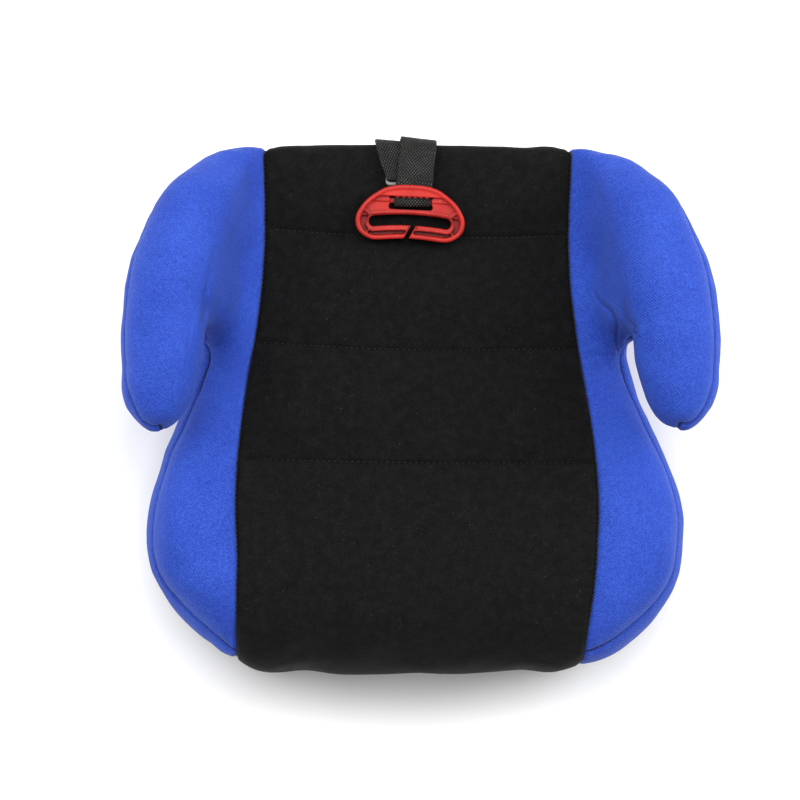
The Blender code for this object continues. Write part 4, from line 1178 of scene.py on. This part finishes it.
def even(p, n, gap):
    p, n = p.copy(), n.copy()
    for _ in range(6):
        p[1:-1] = 0.5 * p[1:-1] + 0.25 * (p[:-2] + p[2:])
        n[1:-1] = 0.5 * n[1:-1] + 0.25 * (n[:-2] + n[2:])
    along = np.concatenate([[0], np.cumsum(np.linalg.norm(np.diff(p, axis=0), axis=1))])
    s = np.arange(0, along[-1], gap)
    q = np.stack([np.interp(s, along, p[:, k]) for k in range(3)], 1)
    m = np.stack([np.interp(s, along, n[:, k]) for k in range(3)], 1)
    return q, m / np.linalg.norm(m, axis=1)[:, None]


def stitches(q, n, every, length, radius, lift, verts, faces, sides=6):
    """Short rounded stitches along a line; each dives a little at both ends."""
    gap = np.linalg.norm(q[1] - q[0])
    step_n, half = max(1, int(round(every / gap))), length / 2
    profile = [(-1.0, 0.15), (-0.8, 0.7), (-0.35, 1.0), (0.35, 1.0), (0.8, 0.7), (1.0, 0.15)]
    for k in range(step_n, len(q) - step_n, step_n):
        if nose(q[k:k + 1])[0] > 0.5:
            continue
        t = q[min(k + 2, len(q) - 1)] - q[k - 2]
        t /= np.linalg.norm(t)
        up = n[k] - t * (n[k] @ t)
        up /= np.linalg.norm(up)
        side = np.cross(t, up)
        base = len(verts)
        for u, r in profile:
            c = q[k] + t * (u * half) + up * (lift - 0.7 * radius * u * u)
            for j in range(sides):
                a = 2 * math.pi * j / sides
                verts.append(c + (side * math.cos(a) + up * math.sin(a) * 0.8) * radius * r)
        rows = len(profile)
        for i in range(rows - 1):
            for j in range(sides):
                faces.append((base + i * sides + j, base + i * sides + (j + 1) % sides,
                              base + (i + 1) * sides + (j + 1) % sides, base + (i + 1) * sides + j))
        faces.append(tuple(base + j for j in range(sides))[::-1])
        faces.append(tuple(base + (rows - 1) * sides + j for j in range(sides)))


print("threads")
dark, black = ([], []), ([], [])
for pair, p, n in seam_chains():
    q, m = even(p, n, 0.8)
    if len(q) < 12 or q[:, 2].max() < HEM_Z + 4:
        continue
    if pair[0] == CENTRE_P:
        stitches(q, m, 3.2, 2.5, 0.34, 0.35, *black)
    else:
        stitches(q, m, 3.2, 2.7, 0.36, 0.55, *dark)
tree = BVHTree.FromPolygons((P * 1.0).tolist(), sheet.t.tolist())
for number in range(3):
    xs = np.linspace(-112, 112, 281)
    ys = quilt_lines(xs)[number]
    path, norm = [], []
    for xx, yy in zip(xs, ys):
        hit = tree.ray_cast(Vector((xx, yy, 260)), Vector((0, 0, -1)))
        if hit[0] is None or abs(xx) > float(seam_x(xx, yy, 104.0)) - 2.5:
            continue
        path.append(hit[0])
        norm.append(hit[1] if hit[1].z > 0 else -hit[1])
    q, m = even(np.array(path), np.array(norm), 0.8)
    stitches(q, m, 4.0, 3.0, 0.24, -0.10, *black)
threads = []
for name, (tv, tf), slot_name in (("seam_thread_navy", dark, "blue_fabric"), ("seam_thread_black", black, "black_fabric")):
    made = mesh_object(name, np.array(tv), tf)
    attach(made, "root")
    threads.append(made)


# ------------------------------------------------------------------ elastic cord in the hem
def hem_cord():
    points, normal = closed_outline(720)
    inset, radius = 7.0, 1.3
    c = points - normal * inset
    sides = 12
    verts = []
    for k, (q, n) in enumerate(zip(c, normal)):
        for j in range(sides):
            a = 2 * math.pi * j / sides
            r = radius * (1 + 0.09 * math.cos(3 * a + k * 2 * math.pi * 60 / 720))
            verts.append((q[0] + n[0] * r * math.cos(a), q[1] + n[1] * r * math.cos(a), HEM_Z - 2.1 + r * math.sin(a)))
    count = len(c)
    faces = [(i * sides + j, i * sides + (j + 1) % sides, (i + 1) % count * sides + (j + 1) % sides, (i + 1) % count * sides + j)
             for i in range(count) for j in range(sides)]
    return outward(mesh_object("hem_elastic_cord", settle(np.array(verts)), faces))


cord = hem_cord()
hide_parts("hem_elastic")
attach(cord, "root")


# ------------------------------------------------------------------ materials
class Nodes:
    """Short hand for building node trees."""

    def __init__(self, name):
        self.m = bpy.data.materials.new(name)
        self.m.use_nodes = True
        self.t = self.m.node_tree
        self.bsdf = self.t.nodes["Principled BSDF"]

    def n(self, kind, **inputs):
        node = self.t.nodes.new(kind)
        for key, val in inputs.items():
            if key.startswith("_"):
                setattr(node, key[1:], val)
        for key, val in inputs.items():
            if key.startswith("_"):
                continue
            k = int(key[1:]) if key[0] == "i" and key[1:].isdigit() else key.replace("__", " ")
            if isinstance(val, bpy.types.NodeSocket):
                self.t.links.new(val, node.inputs[k])
            else:
                node.inputs[k].default_value = val
        return node

    def math(self, op, a, b=0.0, c=0.0, clamp=False):
        return self.n("ShaderNodeMath", _operation=op, _use_clamp=clamp, i0=a, i1=b, i2=c).outputs[0]

    def mix(self, f, a, b):
        node = self.n("ShaderNodeMix", _data_type="RGBA")
        for k, val in ((0, f), (6, a), (7, b)):
            if isinstance(val, bpy.types.NodeSocket):
                self.t.links.new(val, node.inputs[k])
            else:
                node.inputs[k].default_value = val
        return node.outputs[2]

    def ramp(self, f, *stops):
        node = self.n("ShaderNodeValToRGB", Fac=f)
        els = node.color_ramp.elements
        while len(els) < len(stops):
            els.new(0.5)
        for e, (pos, col) in zip(els, stops):
            e.position = pos
            e.color = (*col, 1) if len(col) == 3 else (col[0], col[0], col[0], 1)
        return node.outputs[0]

    def link(self, sock, name):
        self.t.links.new(sock, self.bsdf.inputs[name])


def coords_mm(b):
    geo = b.n("ShaderNodeTexCoord")
    return b.n("ShaderNodeVectorMath", _operation="SCALE", i0=geo.outputs["Object"], Scale=1000.0).outputs[0]


def triplanar(b, p, pattern):
    """pattern(u, v) drawn on three planes and mixed by the surface's direction."""
    geo = b.n("ShaderNodeNewGeometry")
    q = b.n("ShaderNodeSeparateXYZ", i0=p).outputs
    nn = b.n("ShaderNodeSeparateXYZ", i0=geo.outputs["Normal"]).outputs
    w = [b.math("POWER", b.math("ABSOLUTE", s), 6.0) for s in nn]
    total = b.math("ADD", b.math("ADD", w[0], w[1]), w[2])
    vals = [pattern(q[1], q[2]), pattern(q[0], q[2]), pattern(q[0], q[1])]
    s = None
    for wi, val in zip(w, vals):
        term = b.math("MULTIPLY", b.math("DIVIDE", wi, total), val)
        s = term if s is None else b.math("ADD", s, term)
    return s


def blue_fabric():
    b = Nodes("blue_knit")
    p = coords_mm(b)

    def knit(u, v):
        # fine diagonal rib crossed by a finer one: a warp-knit with a twill look
        d1 = b.math("SINE", b.math("MULTIPLY", b.math("ADD", u, v), 2 * math.pi / 2.0))
        d2 = b.math("SINE", b.math("MULTIPLY", b.math("SUBTRACT", u, b.math("MULTIPLY", v, 1.25)), 2 * math.pi / 1.2))
        return b.math("MULTIPLY_ADD", d2, 0.45, b.math("MULTIPLY", d1, 0.55))

    weave = triplanar(b, p, knit)
    grain = b.n("ShaderNodeTexNoise", Vector=p, Scale=1.15, Detail=2.0, Roughness=0.6).outputs[0]
    fleck = b.n("ShaderNodeTexVoronoi", Vector=p, Scale=1.2).outputs["Color"]
    fleck = b.n("ShaderNodeSeparateColor", i0=fleck).outputs[0]
    broad = b.n("ShaderNodeTexNoise", Vector=p, Scale=0.028, Detail=3.0).outputs[0]
    tone = b.math("MULTIPLY_ADD", weave, 0.26, 0.5)
    tone = b.math("MULTIPLY_ADD", b.math("SUBTRACT", grain, 0.5), 0.50, tone)
    tone = b.math("MULTIPLY_ADD", b.math("SUBTRACT", fleck, 0.5), 0.26, tone)
    tone = b.math("MULTIPLY_ADD", b.math("SUBTRACT", broad, 0.5), 0.22, tone)
    col = b.ramp(tone, (0.22, BLUE[0]), (0.5, BLUE[1]), (0.80, BLUE[2]))
    # painted shade: the colour goes to a near-black navy in seams, quilt lines and creases, standing in for the shade
    # in those grooves
    dark = b.n("ShaderNodeAttribute", _attribute_name="painted_groove_shade").outputs["Fac"]
    col = b.mix(b.math("MULTIPLY", dark, 0.9), col, (0.002, 0.005, 0.030, 1))
    b.link(col, "Base Color")
    b.link(b.math("MULTIPLY_ADD", grain, 0.2, 0.68), "Roughness")
    b.bsdf.inputs["Sheen Weight"].default_value = 0.10
    b.bsdf.inputs["Sheen Roughness"].default_value = 0.4
    b.bsdf.inputs["Sheen Tint"].default_value = (0.5, 0.62, 1.0, 1)
    b.bsdf.inputs["Specular IOR Level"].default_value = 0.28
    height = b.math("MULTIPLY_ADD", weave, 0.5, b.math("MULTIPLY", grain, 0.9))
    bump = b.n("ShaderNodeBump", Strength=0.5, Distance=0.0004, Height=height)
    b.link(bump.outputs[0], "Normal")
    return b.m


def black_fabric():
    b = Nodes("black_brushed_knit")
    p = coords_mm(b)
    fine = b.n("ShaderNodeTexNoise", Vector=p, Scale=1.4, Detail=3.0, Roughness=0.65).outputs[0]
    mid = b.n("ShaderNodeTexNoise", Vector=p, Scale=0.16, Detail=3.0).outputs[0]
    loops = b.n("ShaderNodeTexVoronoi", Vector=p, Scale=0.8).outputs["Distance"]
    lint = b.n("ShaderNodeTexVoronoi", Vector=p, Scale=0.42)
    pick = b.n("ShaderNodeSeparateColor", i0=lint.outputs["Color"]).outputs[0]
    dot = b.math("MULTIPLY", b.math("GREATER_THAN", pick, 0.965), b.math("LESS_THAN", lint.outputs["Distance"], 0.13))
    tone = b.math("MULTIPLY_ADD", b.math("SUBTRACT", fine, 0.5), 0.9, 0.5)
    tone = b.math("MULTIPLY_ADD", b.math("SUBTRACT", mid, 0.5), 0.5, tone)
    tone = b.math("MULTIPLY_ADD", b.math("SUBTRACT", loops, 0.4), 0.25, tone)
    col = b.ramp(tone, (0.2, BLACK[0]), (0.5, BLACK[1]), (0.85, BLACK[2]))
    col = b.mix(b.math("MULTIPLY", dot, 0.35), col, (0.12, 0.12, 0.12, 1))
    # painted shade: the colour goes to near black in seams, quilt lines and creases, standing in for the shade in those
    # grooves
    dark = b.n("ShaderNodeAttribute", _attribute_name="painted_groove_shade").outputs["Fac"]
    col = b.mix(dark, col, (0.0004, 0.0004, 0.0004, 1))
    b.link(col, "Base Color")
    b.bsdf.inputs["Roughness"].default_value = 0.9
    b.bsdf.inputs["Specular IOR Level"].default_value = 0.10
    b.bsdf.inputs["Sheen Weight"].default_value = 0.04
    b.bsdf.inputs["Sheen Roughness"].default_value = 0.5
    height = b.math("MULTIPLY_ADD", loops, -0.6, fine)
    bump = b.n("ShaderNodeBump", Strength=0.4, Distance=0.0004, Height=height)
    b.link(bump.outputs[0], "Normal")
    return b.m


BLUE = ((0.0046, 0.0235, 0.245), (0.0134, 0.0515, 0.372), (0.039, 0.105, 0.555))
BLACK = ((0.0010, 0.0010, 0.0011), (0.0032, 0.0032, 0.0034), (0.0096, 0.0096, 0.0096))
MAT = {"blue": blue_fabric(), "black": black_fabric()}
for name, (made, kind) in cover.items():
    made.data.materials.clear()
    made.data.materials.append(MAT[kind])

def plastic(name, deep, base, edge, rough, grain=0.35, edge_wear_and_painted_light=0.5, spark=0.10, shine=0.5):
    """Moulded plastic: a fine spark texture, slight colour drift, edges lighter (partly rubbed wear, partly painted
    highlight) and recesses darker as painted shade.
    """
    b = Nodes(name)
    p = coords_mm(b)
    geo = b.n("ShaderNodeNewGeometry")
    fine = b.n("ShaderNodeTexNoise", Vector=p, Scale=2.4, Detail=3.0, Roughness=0.6).outputs[0]
    broad = b.n("ShaderNodeTexNoise", Vector=p, Scale=0.07, Detail=3.0).outputs[0]
    flow = b.n("ShaderNodeTexNoise", Vector=p, Scale=0.35, Detail=4.0, Distortion=0.8).outputs[0]
    # convex edges lighter, partly rubbed wear and partly painted highlight; concave corners darker as painted shade
    edges = b.ramp(geo.outputs["Pointiness"], (0.44, (0, 0, 0)), (0.50, (0.5, 0.5, 0.5)), (0.57, (1, 1, 1)))
    tone = b.math("MULTIPLY_ADD", b.math("SUBTRACT", edges, 0.5), edge_wear_and_painted_light, 0.5)
    tone = b.math("MULTIPLY_ADD", b.math("SUBTRACT", broad, 0.5), 0.28, tone)
    tone = b.math("MULTIPLY_ADD", b.math("SUBTRACT", fine, 0.5), spark, tone)
    # painted shade: occlusion darkens the colour in the channels and crevices
    shade = b.n("ShaderNodeAmbientOcclusion", Distance=0.0035, _samples=6).outputs["AO"]
    tone = b.math("MULTIPLY_ADD", b.math("SUBTRACT", shade, 1.0), 0.6, tone)
    b.link(b.ramp(tone, (0.15, deep), (0.5, base), (0.88, edge)), "Base Color")
    scuff = b.math("MULTIPLY_ADD", b.math("SUBTRACT", flow, 0.5), 0.22, rough)
    b.link(scuff, "Roughness")
    b.bsdf.inputs["Specular IOR Level"].default_value = shine
    bump = b.n("ShaderNodeBump", Strength=grain, Distance=0.00008, Height=fine)
    b.link(bump.outputs[0], "Normal")
    return b.m


def web_fabric():
    """Polyester webbing: dots of a coarse herringbone, laid out by the band's own width and length; the raised dots are
    coloured lighter, partly the weave and partly painted highlight.
    """
    b = Nodes("woven_webbing")
    p = coords_mm(b)
    att = b.n("ShaderNodeAttribute", _attribute_name="web")
    q = b.n("ShaderNodeSeparateXYZ", i0=att.outputs["Vector"]).outputs
    ca = b.math("COSINE", b.math("MULTIPLY", q[0], 2 * math.pi / 2.1))
    cb = b.math("COSINE", b.math("MULTIPLY", q[1], 2 * math.pi / 2.4))
    cell = b.math("MULTIPLY", ca, cb)
    yarn = b.math("SINE", b.math("MULTIPLY", b.math("ADD", b.math("ABSOLUTE", q[0]), q[1]), 2 * math.pi / 0.62))
    grain = b.n("ShaderNodeTexNoise", Vector=p, Scale=2.6, Detail=2.0).outputs[0]
    broad = b.n("ShaderNodeTexNoise", Vector=p, Scale=0.11, Detail=2.0).outputs[0]
    tone = b.math("MULTIPLY_ADD", cell, 0.34, 0.42)
    tone = b.math("MULTIPLY_ADD", yarn, 0.05, tone)
    tone = b.math("MULTIPLY_ADD", b.math("SUBTRACT", grain, 0.5), 0.5, tone)
    tone = b.math("MULTIPLY_ADD", b.math("SUBTRACT", broad, 0.5), 0.25, tone)
    # the light grey top stops colour the raised dots: partly the weave's own pattern, partly painted highlight on the
    # yarn
    b.link(b.ramp(tone, (0.30, (0.0018, 0.0018, 0.0018)), (0.54, (0.0060, 0.0060, 0.0058)), (0.72, (0.045, 0.046, 0.041)),
                  (0.90, (0.17, 0.172, 0.150))), "Base Color")
    b.link(b.math("MULTIPLY_ADD", cell, -0.08, 0.62), "Roughness")
    b.bsdf.inputs["Specular IOR Level"].default_value = 0.2
    height = b.math("MULTIPLY_ADD", yarn, 0.25, b.math("MULTIPLY_ADD", grain, 0.4, cell))
    bump = b.n("ShaderNodeBump", Strength=0.55, Distance=0.00030, Height=height)
    b.link(bump.outputs[0], "Normal")
    return b.m


def foam_material():
    b = Nodes("open_cell_foam")
    p = coords_mm(b)
    cells = b.n("ShaderNodeTexVoronoi", Vector=p, Scale=0.7).outputs["Distance"]
    broad = b.n("ShaderNodeTexNoise", Vector=p, Scale=0.05, Detail=2.0).outputs[0]
    tone = b.math("MULTIPLY_ADD", b.math("SUBTRACT", broad, 0.5), 0.5, b.math("MULTIPLY_ADD", cells, 0.5, 0.25))
    b.link(b.ramp(tone, (0.1, (0.30, 0.29, 0.26)), (0.6, (0.55, 0.54, 0.50)), (0.95, (0.66, 0.65, 0.61))), "Base Color")
    b.bsdf.inputs["Roughness"].default_value = 0.95
    bump = b.n("ShaderNodeBump", Strength=0.6, Distance=0.0006, Height=cells)
    b.link(bump.outputs[0], "Normal")
    return b.m


def steel_material():
    b = Nodes("drawn_steel")
    p = coords_mm(b)
    stretch = b.n("ShaderNodeVectorMath", _operation="MULTIPLY", i0=p, i1=(0.15, 3.0, 3.0)).outputs[0]
    lines = b.n("ShaderNodeTexNoise", Vector=stretch, Scale=1.0, Detail=4.0).outputs[0]
    b.link(b.ramp(lines, (0.3, (0.32, 0.32, 0.33)), (0.7, (0.62, 0.62, 0.63))), "Base Color")
    b.bsdf.inputs["Metallic"].default_value = 1.0
    b.link(b.math("MULTIPLY_ADD", lines, 0.25, 0.22), "Roughness")
    return b.m


def thread_material(name, low, high):
    b = Nodes(name)
    p = coords_mm(b)
    ply = b.n("ShaderNodeTexNoise", Vector=p, Scale=3.2, Detail=2.0).outputs[0]
    b.link(b.ramp(ply, (0.3, low), (0.7, high)), "Base Color")
    b.bsdf.inputs["Roughness"].default_value = 0.65
    bump = b.n("ShaderNodeBump", Strength=0.4, Distance=0.0001, Height=ply)
    b.link(bump.outputs[0], "Normal")
    return b.m


# in each plastic the darkest colour serves the painted shade in recesses and the lightest the edges, partly wear and
# partly painted highlight
MAT["red"] = plastic("red_moulded_nylon", (0.13, 0.004, 0.003), (0.44, 0.017, 0.012), (0.84, 0.095, 0.065), 0.38, shine=0.24)
MAT["grey"] = plastic("grey_moulded_nylon", (0.10, 0.105, 0.105), (0.20, 0.21, 0.21), (0.34, 0.35, 0.35), 0.45)
MAT["shell"] = plastic("black_moulded_shell", (0.006, 0.006, 0.007), (0.014, 0.014, 0.015), (0.040, 0.040, 0.042), 0.52, 0.6)
MAT["web"] = web_fabric()
MAT["foam"] = foam_material()
MAT["steel"] = steel_material()
MAT["cord"] = thread_material("knitted_elastic", (0.010, 0.010, 0.011), (0.040, 0.040, 0.042))
MAT["navy"] = thread_material("navy_thread", (0.002, 0.004, 0.022), (0.006, 0.011, 0.060))
MAT["thread"] = thread_material("black_thread", (0.002, 0.002, 0.002), (0.009, 0.009, 0.009))


def paint(obj, material):
    obj.data.materials.clear()
    obj.data.materials.append(material)


for obj, key in [(guide, "red"), (plate, "grey"), (cord, "cord"), (threads[0], "navy"), (threads[1], "thread")] + \
        [(f, "foam") for f in foams] + [(w, "web") for w in bands]:
    paint(obj, MAT[key])
for name, key in [("seat_shell", "shell"), ("strap_anchor_bar", "steel"), ("seat_foam", "foam"), ("armrest_foam_left", "foam"),
                  ("armrest_foam_right", "foam")] + [("hem_hook_%d" % k, "shell") for k in range(1, 7)]:
    for k in range(max(1, len(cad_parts[name].material_slots))):
        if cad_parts[name].material_slots:
            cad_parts[name].material_slots[k].material = MAT[key]
        else:
            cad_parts[name].data.materials.append(MAT[key])

# ------------------------------------------------------------------ stage, light, camera
size = CAD_BOX[1] - CAD_BOX[0] if not isinstance(CAD_BOX[0], (list, tuple)) else None
lo, hi = (np.array(CAD_BOX[0]), np.array(CAD_BOX[1]))
floor_mesh = bpy.data.meshes.new("floor")
floor_mesh.from_pydata([(-6, -6, 0), (6, -6, 0), (6, 6, 0), (-6, 6, 0)], [], [(0, 1, 2, 3)])
floor = bpy.data.objects.new("floor", floor_mesh)
bpy.context.scene.collection.objects.link(floor)
floor.location.z = float(lo[2]) - 0.0004
fm = Nodes("pale_floor")
fm.bsdf.inputs["Base Color"].default_value = (0.93, 0.93, 0.93, 1)
fm.bsdf.inputs["Roughness"].default_value = 0.9
fm.bsdf.inputs["Specular IOR Level"].default_value = 0.1
floor.data.materials.append(fm.m)


def area(name, where, target, size, power, colour=(1, 1, 1)):
    light = bpy.data.lights.new(name, "AREA")
    light.shape = "DISK"
    light.size = size
    light.energy = power
    light.color = colour
    obj = bpy.data.objects.new(name, light)
    bpy.context.scene.collection.objects.link(obj)
    obj.location = where
    obj.rotation_euler = (Vector(target) - Vector(where)).to_track_quat("-Z", "Y").to_euler()
    return obj


area("softbox", (-0.10, 0.30, 2.0), (0, 0, 0.1), 1.3, 26)
area("key", (-1.1, 0.7, 1.7), (0, 0, 0.1), 1.0, 6.5)
area("front", (0.3, -1.7, 1.3), (0, 0, 0.1), 1.4, 1)
area("side_right", (1.3, 0.45, 1.0), (0, 0, 0.1), 1.0, 20)
area("side_left", (-1.3, 0.45, 1.0), (0, 0, 0.1), 1.0, 9)
world = bpy.data.worlds.new("studio")
bpy.context.scene.world = world
world.use_nodes = True
world.node_tree.nodes["Background"].inputs[0].default_value = (1, 1, 1, 1)
world.node_tree.nodes["Background"].inputs[1].default_value = 0.50
bpy.context.scene.view_settings.view_transform = "Standard"
bpy.context.scene.view_settings.look = "None"
bpy.context.scene.view_settings.exposure = 0.0

target = Vector((-0.0115, 0.005 + OFF_Y * MM, 0.10))
away = Vector((-0.044, -0.17, 0.985)).normalized()
cam = bpy.data.cameras.new("camera")
cam.sensor_width = 36.0
cam.lens = 2175 / 800 * 36
cam_obj = bpy.data.objects.new("camera", cam)
bpy.context.scene.collection.objects.link(cam_obj)
place = target + away * 1.5
right = Vector((0, 1, 0)).cross(away).normalized()
up = away.cross(right).normalized()
cam_obj.matrix_world = Matrix(((right.x, up.x, away.x, place.x), (right.y, up.y, away.y, place.y),
                               (right.z, up.z, away.z, place.z), (0, 0, 0, 1)))
bpy.context.scene.camera = cam_obj
